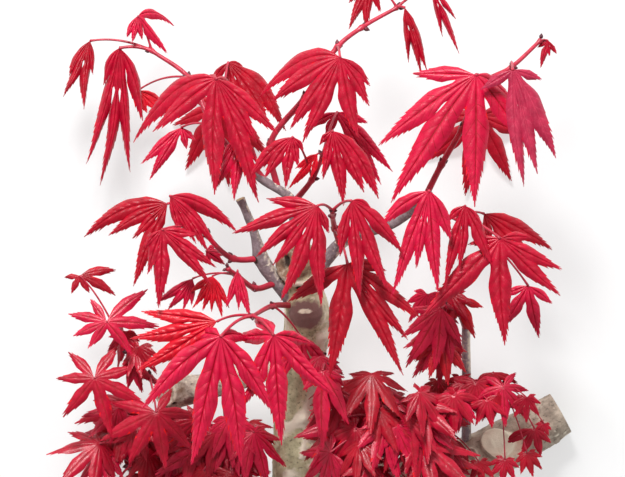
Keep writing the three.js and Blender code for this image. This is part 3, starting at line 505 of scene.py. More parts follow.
def unit(v):
    return v / np.linalg.norm(v, axis=-1, keepdims=True)


def smooth(t):
    return t * t * (3 - 2 * t)


def ramp(value, low, high):
    """0 below low, 1 above high, smooth between."""
    return smooth(np.clip((value - low) / (high - low), 0, 1))


def lattice(cells, seed):
    """A random height from -1 to 1 for each whole-numbered cell."""
    x, y, z = np.moveaxis(cells.astype(np.int64), -1, 0)
    n = (x * 73856093) ^ (y * 19349663) ^ (z * 83492791) ^ (seed * 2654435761)
    n = (n ^ (n >> 13)) * 1274126177 & 0xFFFFFFFF
    n = (n ^ (n >> 16)) * 2246822519 & 0xFFFFFFFF
    return (n ^ (n >> 15)) / 2147483648 - 1


def noise(points, seed):
    """Smooth random heights from -1 to 1, one unit from bump to bump."""
    cell = np.floor(points)
    share = smooth(points - cell)
    total = 0
    for corner in np.ndindex(2, 2, 2):
        weight = np.prod(np.where(corner, share, 1 - share), axis=-1)
        total = total + weight * lattice(cell + corner, seed)
    return total


def catmull_rom(path, count):
    """Points evenly along a centripetal curve through the path, as in the solids."""
    path = np.asarray(path, float)
    ends = np.vstack([2 * path[0] - path[1], path, 2 * path[-1] - path[-2]])
    places = np.linspace(0, len(path) - 1, count)
    k = np.minimum(places.astype(int), len(path) - 2)
    w = (places - k)[:, None]
    p0, p1, p2, p3 = (ends[k + i] for i in range(4))
    d0, d1, d2 = (np.linalg.norm(b - a, axis=1, keepdims=True) ** 0.5
                  for a, b in ((p0, p1), (p1, p2), (p2, p3)))
    t1 = ((p1 - p0) / d0 - (p2 - p0) / (d0 + d1) + (p2 - p1) / d1) * d1
    t2 = ((p2 - p1) / d1 - (p3 - p1) / (d1 + d2) + (p3 - p2) / d2) * d1
    return p1 + t1 * w + (3 * (p2 - p1) - 2 * t1 - t2) * w ** 2 + (2 * (p1 - p2) + t1 + t2) * w ** 3


def limb_line(path, count):
    """A limb's centres and radii, evenly along its path."""
    path = np.asarray(path, float)
    places = np.linspace(0, len(path) - 1, count)
    k = np.minimum(places.astype(int), len(path) - 2)
    mix = smooth(places - k)
    return catmull_rom(path[:, :3], count), path[k, 3] * (1 - mix) + path[k + 1, 3] * mix


def evenly(centres, radii, spacing):
    """The same line with its rings an even distance apart, and how far along each lies."""
    gone = np.concatenate([[0], np.cumsum(np.linalg.norm(np.diff(centres, axis=0), axis=1))])
    places = np.linspace(0, gone[-1], max(int(gone[-1] / spacing), 3))
    line = np.stack([np.interp(places, gone, column) for column in centres.T], axis=-1)
    return line, np.interp(places, gone, radii), places


def directions(centres, sides):
    """For each ring along a line, the way along it and the unit spokes of the ring."""
    along = unit(np.gradient(centres, axis=0))
    side = UP_FRONT if abs(along[0, 2]) < 0.9 else np.array([1.0, 0.0, 0.0])
    across = []
    for way in along:
        side = unit(side - way * (side @ way))
        across.append(side)
    across = np.array(across)
    turn = np.linspace(0, 2 * math.pi, sides, endpoint=False)[:, None]
    spokes = across[:, None] * np.cos(turn) + np.cross(along, across)[:, None] * np.sin(turn)
    return along, spokes


def ring_faces(rings, sides):
    """Faces of a tube of rings, open at both ends."""
    k = np.arange(sides)
    first = (np.arange(rings - 1) * sides)[:, None]
    a, b = first + k, first + (k + 1) % sides
    return np.stack([a, b, b + sides, a + sides], axis=-1).reshape(-1, 4)


def cap_faces(first, sides, centre, outward):
    """A fan of triangles that closes a ring on the point centre."""
    k = np.arange(sides)
    a, b = first + k, first + (k + 1) % sides
    pair = (a, b) if outward else (b, a)
    return np.stack([*pair, np.full(sides, centre), np.full(sides, -1)], axis=-1)


def add_tube(batch, centres, radii, sides, slot):
    """A round tube with a domed end and a closed foot."""
    _, spokes = directions(centres, sides)
    points = centres[:, None] + spokes * np.asarray(radii)[:, None, None]
    end = centres[-1] + unit(centres[-1] - centres[-2]) * radii[-1] * TUBE_DOME
    count = len(centres) * sides
    points = np.vstack([points.reshape(-1, 3), end, centres[0]])
    faces = np.vstack([ring_faces(len(centres), sides), cap_faces(count - sides, sides, count, True),
                       cap_faces(0, sides, count + 1, False)])
    batch.add(points, faces, slot)


def turned(v, tip, turn):
    """v after the leaf's heading is tipped forward and the leaf turned to the right."""
    a, b = -math.radians(tip), math.radians(turn)
    tipping = np.array([[1, 0, 0], [0, math.cos(a), -math.sin(a)], [0, math.sin(a), math.cos(a)]])
    turning = np.array([[math.cos(b), 0, math.sin(b)], [0, 1, 0], [-math.sin(b), 0, math.cos(b)]])
    return turning @ tipping @ np.asarray(v, float)


def rib_curves(leaf, steps=CURVE_STEPS):
    """The rib of each lobe: its points, the way across it and its upward side, at even steps."""
    foot, length, tip, turn, cup, droop, _, ribs = leaf[:8]
    normal = turned(UP_FRONT, tip, turn)
    curves = []
    for i, (angle, share, *own) in enumerate(ribs):
        gaps = [abs(rib[0] - angle) for rib in (*ribs[max(i - 1, 0):i], *ribs[i + 1:i + 2])]
        room = min(min(gaps) / FULL_ROOM, 1) ** ROOM_POWER
        a, c = math.radians(angle), math.radians(own[1] if own[1:] else cup)
        start = turned((math.sin(a), -math.cos(a), 0), tip, turn) * math.cos(c) - normal * math.sin(c)
        bend = (own[0] if own else droop) * (np.arange(steps + 1) / steps) ** DROOP_POWER
        headings = unit(start + bend[:, None] * DOWN)
        size = length * share
        strides = unit(headings[:-1] + headings[1:]) * size / steps
        side = unit(np.cross(normal, start))
        sides = [side]
        for before, after in zip(headings, headings[1:]):
            side = side - (after @ side) / (1 + before @ after) * (before + after)
            sides.append(side)
        curves.append({
            "start": start, "size": size,
            "half": LOBE_HALF_WIDTH * (length / GROWN_LEAF) ** LENGTH_POWER * room * share ** WIDTH_POWER,
            "point": np.vstack([foot, foot + np.cumsum(strides, axis=0)]),
            "side": np.array(sides), "up": unit(np.cross(headings, sides)),
        })
    return curves


def half_width(u, half, size, gap, reach):
    """Half the width of a lobe at u along it: a widening web up to the sinus, then a blade."""
    web = math.tan(gap / 2)
    parting = reach / size
    t = np.clip((u - parting) / (1 - parting), 0, 1)
    blade = half * (1 - t ** TIP_POWER) * (BLADE_SWELL[0] + BLADE_SWELL[1] * np.sin(np.pi * t))
    ease = smooth(np.minimum(t / WEB_EASE, 1))
    return np.where(u <= parting, u * size * web, reach * web * (1 - t) * (1 - ease) + blade * ease)


def rib_place(curve, u):
    """Points and directions at places u, from 0 to 1, along a rib."""
    steps = len(curve["point"]) - 1
    place = np.minimum(u, 1) * steps
    k = np.minimum(place.astype(int), steps - 1)
    mix = (place - k)[..., None]
    return [curve[name][k] * (1 - mix) + curve[name][k + 1] * mix for name in ("point", "side", "up")]


def partings_of(leaf, curves):
    """Between neighbouring lobes, and at the open back: the angle and how far out they part."""
    partings = []
    for i in range(len(curves) + 1):
        pair = curves[max(i - 1, 0):i + 1]
        if 0 < i < len(curves):
            cosine = np.clip(pair[0]["start"] @ pair[1]["start"], -1, 1)
            gap = max(math.acos(cosine), math.radians(MIN_RIB_GAP))
        else:
            gap = math.radians(BACK_GAP)
        width = SINUS_WIDTH * min(curve["half"] for curve in pair)
        nearest, furthest = SINUS_RANGE[0] * leaf[1], SINUS_RANGE[1] * min(curve["size"] for curve in pair)
        partings.append((gap, min(max(width / math.tan(gap / 2), nearest), furthest)))
    return partings


def lobe_rows(teeth, rng):
    """Rows of a lobe's blade from 0 to 1, tooth by tooth, and the length of the tooth each is in."""
    lengths = rng.uniform(*TOOTH_RANGE, teeth) * np.linspace(*TOOTH_SHRINK, teeth)
    ends = np.concatenate([[0], np.cumsum(lengths)]) / lengths.sum()
    lengths = np.diff(ends)
    rows = ends[:-1, None] + lengths[:, None] * TOOTH_ROWS
    return rows.ravel()[1:], np.repeat(lengths, len(TOOTH_ROWS))[1:]


def lobe_side(curve, parting, web_rows, rows, lengths, rng):
    """One half of a lobe: for each row its place at the margin, its half width and its toothed edge."""
    gap, reach = parting
    size, half = curve["size"], curve["half"]
    start = reach / size
    teeth = (len(rows) + 1) // len(TOOTH_ROWS)
    blade = start + (1 - start) * rows
    slant = rng.uniform(*VEIN_SLANT) * half_width(blade, half, size, gap, reach) / size
    blade = np.minimum(blade + slant * ramp(rows, 0, SLANT_FULL), 1 - 0.5 * (1 - rows) * (1 - start))
    place = np.concatenate([start * np.arange(1, web_rows + 1) / web_rows, blade])
    width = half_width(place, half, size, gap, reach)
    depths = np.repeat(rng.uniform(*TOOTH_DEPTH, teeth), len(TOOTH_ROWS))[1:]
    deep = ramp(rows, TOOTH_START, TOOTH_FULL) * depths
    edge_width, edge_place = width.copy(), place.copy()
    edge_width[web_rows:] += deep * np.tile(TOOTH_STEPS, teeth)[1:] * np.sqrt(half * width[web_rows:])
    edge_place[web_rows:] += np.tile(TOOTH_HOOK, teeth)[1:] * deep * lengths * (1 - start)
    return place, width, np.minimum(edge_place, 0.999), edge_width


def folding(way):
    """How much of its fold a leaf has, a given share of the way from its foot to a parting."""
    return WEB_FOLD + (1 - WEB_FOLD) * ramp(way, *WEB_RANGE)


def web_edge(parting, beside, fold, web_rows):
    """The web's edge at a parting, or the free edge at the open back, and the way up along it."""
    r = parting[1] * np.arange(1, web_rows + 1) / web_rows
    out = (r * math.tan(parting[0] / 2))[:, None]
    drop = out * math.sin(fold) * folding(r / parting[1])[:, None]
    ends = []
    for curve, sign in beside:
        place, side, up = rib_place(curve, r / curve["size"])
        ends.append((place + side * sign * out * math.cos(fold) - up * drop, up))
    edge, up = np.mean(ends, axis=0)
    return edge, unit(up)


def swung(curve, u, start, twist, bend):
    """Places along a rib whose free part, past start, is turned about itself and swung sideways."""
    point, side, up = rib_place(curve, u)
    free = ramp(u, start, 1)[..., None]
    point = point + side * bend * curve["size"] * free ** 2
    angle = twist * free
    return point, side * np.cos(angle) + up * np.sin(angle), up * np.cos(angle) - side * np.sin(angle)


def lobe_faces(grid, hub, end):
    """Faces between the rows of a lobe's corners, with a fan from its foot and one to its tip."""
    a, b, c, d = grid[:-1, :-1], grid[1:, :-1], grid[1:, 1:], grid[:-1, 1:]
    quads = np.stack([a, b, c, d], axis=-1).reshape(-1, 4)
    first = [(hub, left, right, -1) for left, right in zip(grid[0], grid[0, 1:])]
    last = [(left, end, right, -1) for left, right in zip(grid[-1], grid[-1, 1:])]
    return np.vstack([quads, first, last])


def flipped(faces):
    """The same faces seen from their other side."""
    return np.where(faces[:, 3:] < 0, faces[:, [2, 1, 0, 3]], faces[:, ::-1])


def lobe_colours(rows, half_count, web_rows, vein, tint):
    """The finish of each face on top of a lobe, in the order of its faces."""
    column = np.arange(2 * half_count)
    on_rib = (column == half_count - 1) | (column == half_count)
    blade_row = np.arange(rows - 1) - web_rows + 1
    on_vein = (blade_row > 0) & (blade_row % len(TOOTH_ROWS) == VEIN_ROW)
    # Faces along the rib and the side veins take the vein finish, whose dark tint is painted shade in the
    # grooves there
    veined = on_rib | (on_vein[:, None] & (column > 0) & (column < len(column) - 1))
    return np.where(np.concatenate([veined.ravel(), on_rib, on_rib]), vein, tint)


def leaf_mesh(batch, leaf, tint, vein, rng, fine, quilt):
    """A whole leaf: a closed blade of lobes that share their web, with its teeth, ribs and cushions."""
    foot, length, tip, turn, _, _, fold, _ = leaf[:8]
    foot = np.asarray(foot, float)
    lift = turned(UP_FRONT, tip, turn) * BLADE_HALF_THICKNESS
    fold = math.radians(fold)
    grown = (length / GROWN_LEAF) ** 0.5
    curves = rib_curves(leaf)
    partings = partings_of(leaf, curves)
    web_rows = max(round(WEB_SHARE * length / (FINE_ROW if fine else PLAIN_ROW)), 3)
    tooth = TOOTH_LENGTH * grown * (1 if fine else PLAIN_TOOTH)
    columns = np.array(FINE_COLUMNS if fine else PLAIN_COLUMNS)
    crown = np.sin(np.pi * columns)
    groove = np.exp(-(columns / RIB_WIDTH) ** 2)
    swell = np.exp(-(columns / SWELL_WIDTH) ** 2)
    points, faces, slots, seams = [], [], [], []

    def put(new):
        """Keeps points, and gives their numbers."""
        points.extend(new)
        return np.arange(len(points) - len(new), len(points))

    put([foot + lift, foot - lift])
    for i, parting in enumerate(partings):
        beside = [(curves[k], sign) for k, sign in ((i - 1, 1), (i, -1)) if 0 <= k < len(curves)]
        edge, up = web_edge(parting, beside, fold, web_rows)
        above = put(edge)
        below = above.copy()
        if len(beside) > 1:
            below[:-1] = put(edge[:-1] - up[:-1] * BLADE_HALF_THICKNESS)
        else:
            faces.append([(0, 1, above[0], -1) if i == 0 else (1, 0, above[0], -1)])
            slots.append([tint])
        seams.append((above, below))

    heights = np.sin(np.pi * ((TOOTH_ROWS - np.mean(TOOTH_ROWS[VEIN_ROW:])) % 1)) ** 0.6
    for i, curve in enumerate(curves):
        size, half = curve["size"], curve["half"]
        near, far = sorted(parting[1] for parting in partings[i:i + 2])
        teeth = max(round((size - near) / tooth), 4)
        rows, lengths = lobe_rows(teeth, rng)
        start = 0.9 * near / size
        along = np.concatenate([start * np.arange(1, web_rows + 1) / web_rows, start + (1 - start) * rows])
        cushions = np.tile(heights, teeth) * np.repeat(rng.uniform(*CUSHION_RANGE, teeth), len(heights))
        cushions = np.concatenate([np.linspace(0, WEB_CUSHION, web_rows), cushions[1:]])
        wave = WAVE * np.sin(2 * np.pi * (along * rng.uniform(*WAVE_TURNS) + rng.uniform(0, 1))) * along
        sway = far / size, math.radians(rng.uniform(-TWIST, TWIST)), rng.uniform(-BEND, BEND)
        tops, bottoms = [], []
        for sign, parting in ((-1, partings[i]), (1, partings[i + 1])):
            place, width, edge_place, edge_width = lobe_side(curve, parting, web_rows, rows, lengths, rng)
            u = along[:, None] + (place - along)[:, None] * columns
            across = width[:, None] * columns
            drop = width[:, None] * columns ** 1.6
            u[:, -1] = edge_place
            across[:, -1] = drop[:, -1] = edge_width
            drop *= folding(along * size / parting[1])[:, None]
            full = np.minimum(width, half)[:, None]
            relief = CROWN * full * crown
            relief = relief + quilt * (full / half) * grown * cushions[:, None] * crown ** 0.7
            relief = relief - RIB_GROOVE * fine * (full / half) ** 0.5 * groove
            relief = relief + wave[:, None] * sign * columns ** 2 * full / half
            thick = 2 * BLADE_HALF_THICKNESS * (1 - columns ** 3) + RIB_SWELL * swell * (full / half) ** 0.5
            point, side, up = swung(curve, u, *sway)
            rise = (relief - drop * math.sin(fold))[..., None]
            tops.append(point + side * (sign * across * math.cos(fold))[..., None] + up * rise)
            bottoms.append(tops[-1] - up * thick[..., None])

        # Rows of corners from the left margin over the rib to the right margin, above and below
        sheets = []
        for left, right in (tops, bottoms):
            middle = np.concatenate([left[:, -2:0:-1], right[:, :-1]], axis=1)
            sheets.append(put(middle.reshape(-1, 3)).reshape(len(along), -1))
        edges = [put(margin[web_rows:, -1]) for margin in tops]
        end = put([swung(curve, np.array(1.0), *sway)[0]])[0]
        for level, sheet in enumerate(sheets):
            left, right = (np.append(seams[i + k][level], edges[k])[:, None] for k in (0, 1))
            block = lobe_faces(np.hstack([left, sheet, right]), level, end)
            faces.append(flipped(block) if level else block)
            colours = lobe_colours(len(along), len(columns) - 1, web_rows, vein, tint)
            # The underside's bright red is a painted glow of light shining through the leaf
            slots.append(np.full(len(block), LEAF_PLACES.index("leaf_under_painted_glow")) if level else colours)
    batch.add(np.array(points), np.vstack(faces), np.concatenate(slots))


def touches_limb(leaf):
    """Whether a rib of the leaf runs into a limb, by the rule of the solids."""
    places = np.concatenate([curve["point"] for curve in rib_curves(leaf, RULE_STEPS)])
    for _, steps, domed, path in LIMBS.values():
        centres, radii = limb_line(path, steps + 1)
        if domed:
            along = unit(centres[-1] - centres[-2])
            centres = np.vstack([centres, centres[-1] + along * radii[-1] * ROUND_END[:, :1]])
            radii = np.append(radii, radii[-1] * ROUND_END[:, 1])
        gaps = np.linalg.norm(places[:, None] - centres, axis=2)
        if (gaps < radii + CLEARANCE).any():
            return True
    return False


def spray_leaves(seed, reach, size, stem):
    """The leaves of a spray behind the front ones, dealt as for the solids, and the points that
    their stalks leave from."""
    dice = Dice(seed)
    line = np.array(stem, float)
    spans = np.linalg.norm(np.diff(line, axis=0), axis=1)
    leaves = []
    for i in range(SPRAY_PAIRS + 1):
        rest = spans.sum() * (i + 1) / (SPRAY_PAIRS + 1)
        k = 0
        while k < len(spans) - 1 and rest > spans[k]:
            rest -= spans[k]
            k += 1
        node = line[k] + (line[k + 1] - line[k]) * min(rest / spans[k], 1)
        along = unit(line[k + 1] - line[k])
        across = unit(np.cross(along, UP_FRONT))
        for hand in (-1, 1) if i < SPRAY_PAIRS else (0,):
            out = across * hand + along * (0.5 if hand else 1)
            foot = node + unit(out) * reach * dice.roll(0.8, 1.2)
            foot[2] += dice.roll(-6, 8)
            length = size * dice.roll(0.8, 1.1)
            spin = math.degrees(math.atan2(out[0], 1.2)) + dice.roll(-25, 25)
            tip = dice.roll(5, 40)
            turn = dice.roll(-25, 25)
            droop = dice.roll(0.1, 0.5)
            leaf = [foot, length, tip, turn, SPRAY_CUP, droop, SPRAY_FOLD, fan(spin, dice.roll(0.8, 1)), node]
            if not touches_limb(leaf):
                leaves.append(leaf)
    return leaves


def filling_leaves(name, stem):
    """Smaller leaves between those of a mass, in the space that its solid keeps to."""
    seed, tries, most, stalk, size = FILLING[name]
    rng = np.random.default_rng(seed)
    low, high = (np.array(corner) * 1000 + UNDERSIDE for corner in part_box(name))
    line, _, _ = evenly(np.array(stem, float), np.zeros(len(stem)), 1)
    leaves = []
    for _ in range(tries):
        node = line[rng.integers(len(line) // 4, len(line))]
        way = unit(rng.normal(size=3) * (1, 1, 0.6) + (0, 0.3, 0.1))
        foot = node + way * stalk * rng.uniform(0.5, 1.2)
        spin = math.degrees(math.atan2(way[0], 1.2)) + rng.uniform(-35, 35)
        leaf = [foot, size * rng.uniform(0.6, 1), rng.uniform(0, 50), rng.uniform(-40, 40), SPRAY_CUP,
                rng.uniform(0.1, 0.6), SPRAY_FOLD, fan(spin, rng.uniform(0.8, 1)), node]
        reach = np.concatenate([curve["point"] for curve in rib_curves(leaf, RULE_STEPS)])
        inside = (reach > low + 1).all() and (reach < high - 1).all()
        covers = ((reach > WOUND[0]) & (reach < WOUND[1])).all(axis=1).any()
        if inside and not covers and not touches_limb(leaf):
            leaves.append(leaf)
    return leaves[:most]


def bulge(gone, size):
    """A swelling of the given rise and length, gone from its middle."""
    return size[0] * np.exp(-(gone / size[1]) ** 2)


def add_stalk(batch, node, foot, length):
    """An arching stalk for a leaf of the given length, swollen at both its ends."""
    middle = (node + foot) / 2 + np.array([0, STALK_ARCH * np.linalg.norm(foot - node), 0])
    t = np.linspace(0, 1, STALK_RINGS)[:, None]
    centres = node * (1 - t) ** 2 + middle * 2 * t * (1 - t) + foot * t ** 2
    t = t[:, 0]
    radii = STALK_RADIUS[0] + (STALK_RADIUS[1] - STALK_RADIUS[0]) * t
    radii = radii + bulge(t, STALK_FOOT) + bulge(1 - t, STALK_HEAD)
    add_tube(batch, centres, radii * (length / GROWN_LEAF) ** 0.5, STALK_SIDES, STALK_PLACES.index("stalk"))


def add_bud(batch, foot, way, length):
    """A small pointed bud."""
    t = np.linspace(0, 1, 8)
    radii = length * BUD_WIDTH * np.sin(np.pi * (0.12 + 0.88 * t) ** 0.8) + 0.05
    add_tube(batch, foot + unit(way) * (t * length)[:, None], radii, STALK_SIDES, STALK_PLACES.index("bud"))


def add_shoot(batch, stem, rng):
    """The red stem of a shoot, swollen where leaves leave it, with a pair of bud scales at each place."""
    curve = catmull_rom(stem, SHOOT_STEPS * len(stem))
    line, radii, gone = evenly(curve, np.linspace(*SHOOT_RADIUS, len(curve)), SHOOT_SPACING)
    for point in np.asarray(stem, float)[1:]:
        nearest = np.argmin(np.linalg.norm(line - point, axis=1))
        radii = radii + bulge(gone - gone[nearest], NODE_SWELL)
        way = unit(line[nearest] - line[nearest - 1])
        for hand in (-1, 1):
            out = unit(np.cross(way, UP_FRONT)) * hand + way * 1.2 + rng.normal(size=3) * 0.2
            add_bud(batch, point + unit(out) * 0.8, out, rng.uniform(*BUD_LENGTH))
    add_tube(batch, line, radii, SHOOT_SIDES, STALK_PLACES.index("stalk"))


def add_object(name, data):
    thing = bpy.data.objects.new(name, data)
    bpy.context.scene.collection.objects.link(thing)
    return thing


def piece(name, batch, materials, slot, *nodes):
    """A mesh in the frame from what a batch gathered, riding on the branch in place of the nodes."""
    points = (np.concatenate(batch.points) - UNDERSIDE) / 1000
    faces = np.concatenate(batch.faces)
    sizes = (faces >= 0).sum(axis=1)
    mesh = bpy.data.meshes.new(name)
    mesh.vertices.add(len(points))
    mesh.vertices.foreach_set("co", points.ravel())
    mesh.loops.add(sizes.sum())
    mesh.loops.foreach_set("vertex_index", faces[faces >= 0])
    mesh.polygons.add(len(faces))
    mesh.polygons.foreach_set("loop_start", np.cumsum(sizes) - sizes)
    mesh.polygons.foreach_set("material_index", np.concatenate(batch.slots))
    for mark, values in batch.marks.items():
        mesh.attributes.new(mark, "FLOAT", "POINT").data.foreach_set("value", np.concatenate(values))
    mesh.update(calc_edges=True)
    mesh.shade_smooth()
    mesh.set_sharp_from_angle(angle=math.radians(SHARP_EDGE))
    for material in materials:
        mesh.materials.append(material)
    thing = add_object(name, mesh)
    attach(thing, "root")
    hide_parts(*nodes)


def srgb(text):
    """A colour written as #rrggbb, in linear light."""
    values = [int(text[i:i + 2], 16) / 255 for i in (1, 3, 5)]
    return tuple(v / 12.92 if v <= 0.04045 else ((v + 0.055) / 1.055) ** 2.4 for v in values) + (1,)


class Nodes:
    """A node tree, built up node by node. Values are numbers, colours or sockets."""

    def __init__(self, owner):
        owner.use_nodes = True
        self.tree = owner.node_tree

    def feed(self, socket, value):
        if isinstance(value, bpy.types.NodeSocket):
            self.tree.links.new(value, socket)
        else:
            socket.default_value = value

    def node(self, kind, **inputs):
        node = self.tree.nodes.new("ShaderNode" + kind)
        for key, value in inputs.items():
            self.feed(node.inputs[key.replace("_", " ")], value)
        return node

    def math(self, operation, *values):
        node = self.node("Math")
        node.operation = operation
        for socket, value in zip(node.inputs, values):
            self.feed(socket, value)
        return node.outputs[0]

    def spread(self, value, low, high, to_low=0.0, to_high=1.0):
        """A value from low to high as one from to_low to to_high, held at both ends."""
        node = self.node("MapRange", Value=value, From_Min=low, From_Max=high, To_Min=to_low, To_Max=to_high)
        return node.outputs["Result"]


class Finish(Nodes):
    """A procedural material around one shader."""

    def __init__(self, name, roughness, specular):
        self.material = bpy.data.materials.new(name)
        super().__init__(self.material)
        self.shader = self.tree.nodes["Principled BSDF"].inputs
        self.shader["Specular IOR Level"].default_value = specular
        self.shader["Roughness"].default_value = roughness
        self.place = self.node("TexCoord").outputs["Object"]

    def noise(self, scale, detail, rough=0.55):
        """Noise with scale bumps to the metre."""
        node = self.node("TexNoise", Vector=self.place, Scale=scale, Detail=detail, Roughness=rough)
        return node.outputs["Fac"]

    def mix(self, share, first, second):
        node = self.node("Mix")
        node.data_type = "RGBA"
        for place, value in zip((0, 6, 7), (share, first, second)):
            self.feed(node.inputs[place], value)
        return node.outputs[2]

    def mark(self, name):
        """A number that the mesh holds for each of its points."""
        node = self.node("Attribute")
        node.attribute_name = name
        return node.outputs["Fac"]

    def colour(self, value):
        self.feed(self.shader["Base Color"], value)

    def gloss(self, value):
        self.feed(self.shader["Roughness"], value)

    def bump(self, height, strength, distance):
        node = self.node("Bump", Height=height, Strength=strength, Distance=distance)
        self.feed(self.shader["Normal"], node.outputs["Normal"])


def skin_finish(name, light, dark, roughness, specular, skin):
    """A leaf's or a stalk's skin: two close tints in soft clouds, an uneven gloss and a fine grain."""
    clouds, softness, most, shine, dull, grain, detail, strength, depth = skin
    finish = Finish(name, roughness, specular)
    share = finish.spread(finish.noise(clouds, softness), 0.35, most)
    finish.colour(finish.mix(share, srgb(light), srgb(dark)))
    finish.gloss(finish.spread(finish.noise(shine, 2), 0.3, 0.7, roughness - 0.05, roughness + dull))
    finish.bump(finish.noise(grain, detail), strength, depth)
    return finish.material


def bark_finish(name, light, dark, scale):
    """Bark: clouds of two greys, specks, and the tints of its marks with ragged edges."""
    finish = Finish(name, 0.75, 0.3)
    body = finish.mix(finish.spread(finish.noise(scale, 6, rough=0.65), 0.36, 0.64), srgb(light), srgb(dark))
    specks = finish.spread(finish.noise(4 * scale, 3), 0.6, 0.7, 0, 0.7)
    body = finish.mix(specks, body, srgb(SPECK_TINT))
    ragged = finish.spread(finish.noise(1.6 * scale, 4), 0.3, 0.7, -0.35, 0.25)
    # Among the marks are painted shade in hollows, painted shadow beside a knob and a side painted as lit
    for mark, tint in BARK_TINTS.items():
        share = finish.math("ADD", finish.mark(mark), ragged)
        body = finish.mix(finish.spread(share, 0.3, 0.8), body, srgb(tint))
    finish.colour(body)
    finish.gloss(finish.spread(finish.noise(2 * scale, 2), 0.3, 0.7, 0.62, 0.88))
    finish.bump(finish.noise(7 * scale, 5, rough=0.7), 0.6, 0.0004)
    return finish.material


def wood_finish():
    """A sawn face: growth rings in pale wood under a thin bark."""
    finish = Finish("wood", 0.7, 0.3)
    wobble = finish.spread(finish.noise(160, 3), 0.3, 0.7, -0.05, 0.05)
    ring = finish.math("ADD", finish.mark("ring"), wobble)
    wave = finish.math("PINGPONG", ring, GROWTH_RING)
    wood = finish.mix(finish.spread(wave, 0.0, GROWTH_RING), *map(srgb, WOOD_TINTS[:2]))
    finish.colour(finish.mix(finish.spread(ring, 0.86, 0.92), wood, srgb(WOOD_TINTS[2])))
    finish.bump(finish.noise(1500, 4), 0.4, 0.0003)
    return finish.material


def feature_fields(points, features):
    """For each point of the bark: how far it stands out, and how strong each of its marks is."""
    rise = np.zeros(points.shape[:-1])
    marks = {name: rise.copy() for name in BARK_TINTS}
    for kind, centre, radius, height, *more in features:
        if kind == "ridge":
            a, b = np.array(centre, float)
            t = np.clip((points - a) @ (b - a) / ((b - a) @ (b - a)), 0, 1)
            away = np.linalg.norm(points - a - t[..., None] * (b - a), axis=-1)
        else:
            stretch = np.array(more[0] if more else (1, 1, 1))
            away = np.linalg.norm((points - np.array(centre)) / stretch, axis=-1)
        near = away / radius
        if kind in ("knob", "ridge"):
            rise += height * np.exp(-near ** 2)
            marks["pale"] += 1.3 * np.exp(-near ** 2) * (kind == "ridge")
        elif kind == "rim":
            ring = np.exp(-((near - 1) / 0.2) ** 2)
            rise += height * ring
            marks["pale"] += ring
        elif kind == "pit":
            rise -= height * ramp(1 - near, 0, 0.6)
            # A pit is darkened with painted shade as well as sunk
            marks["hollow"] += ramp(1 - near, 0, 0.5)
        elif kind == "table":
            rise += height * ramp(1.15 - near, 0, 0.3)
            marks["wood"] += ramp(1 - near, 0, 0.2) * 1.2
        else:
            marks[kind] += ramp(1 - near, 0, 0.5) * height
    return rise, marks


def extended(values, new, at_end):
    """Rows of values with new rows after them, or the other way round before them."""
    return np.concatenate([values, new] if at_end else [new[::-1], values])


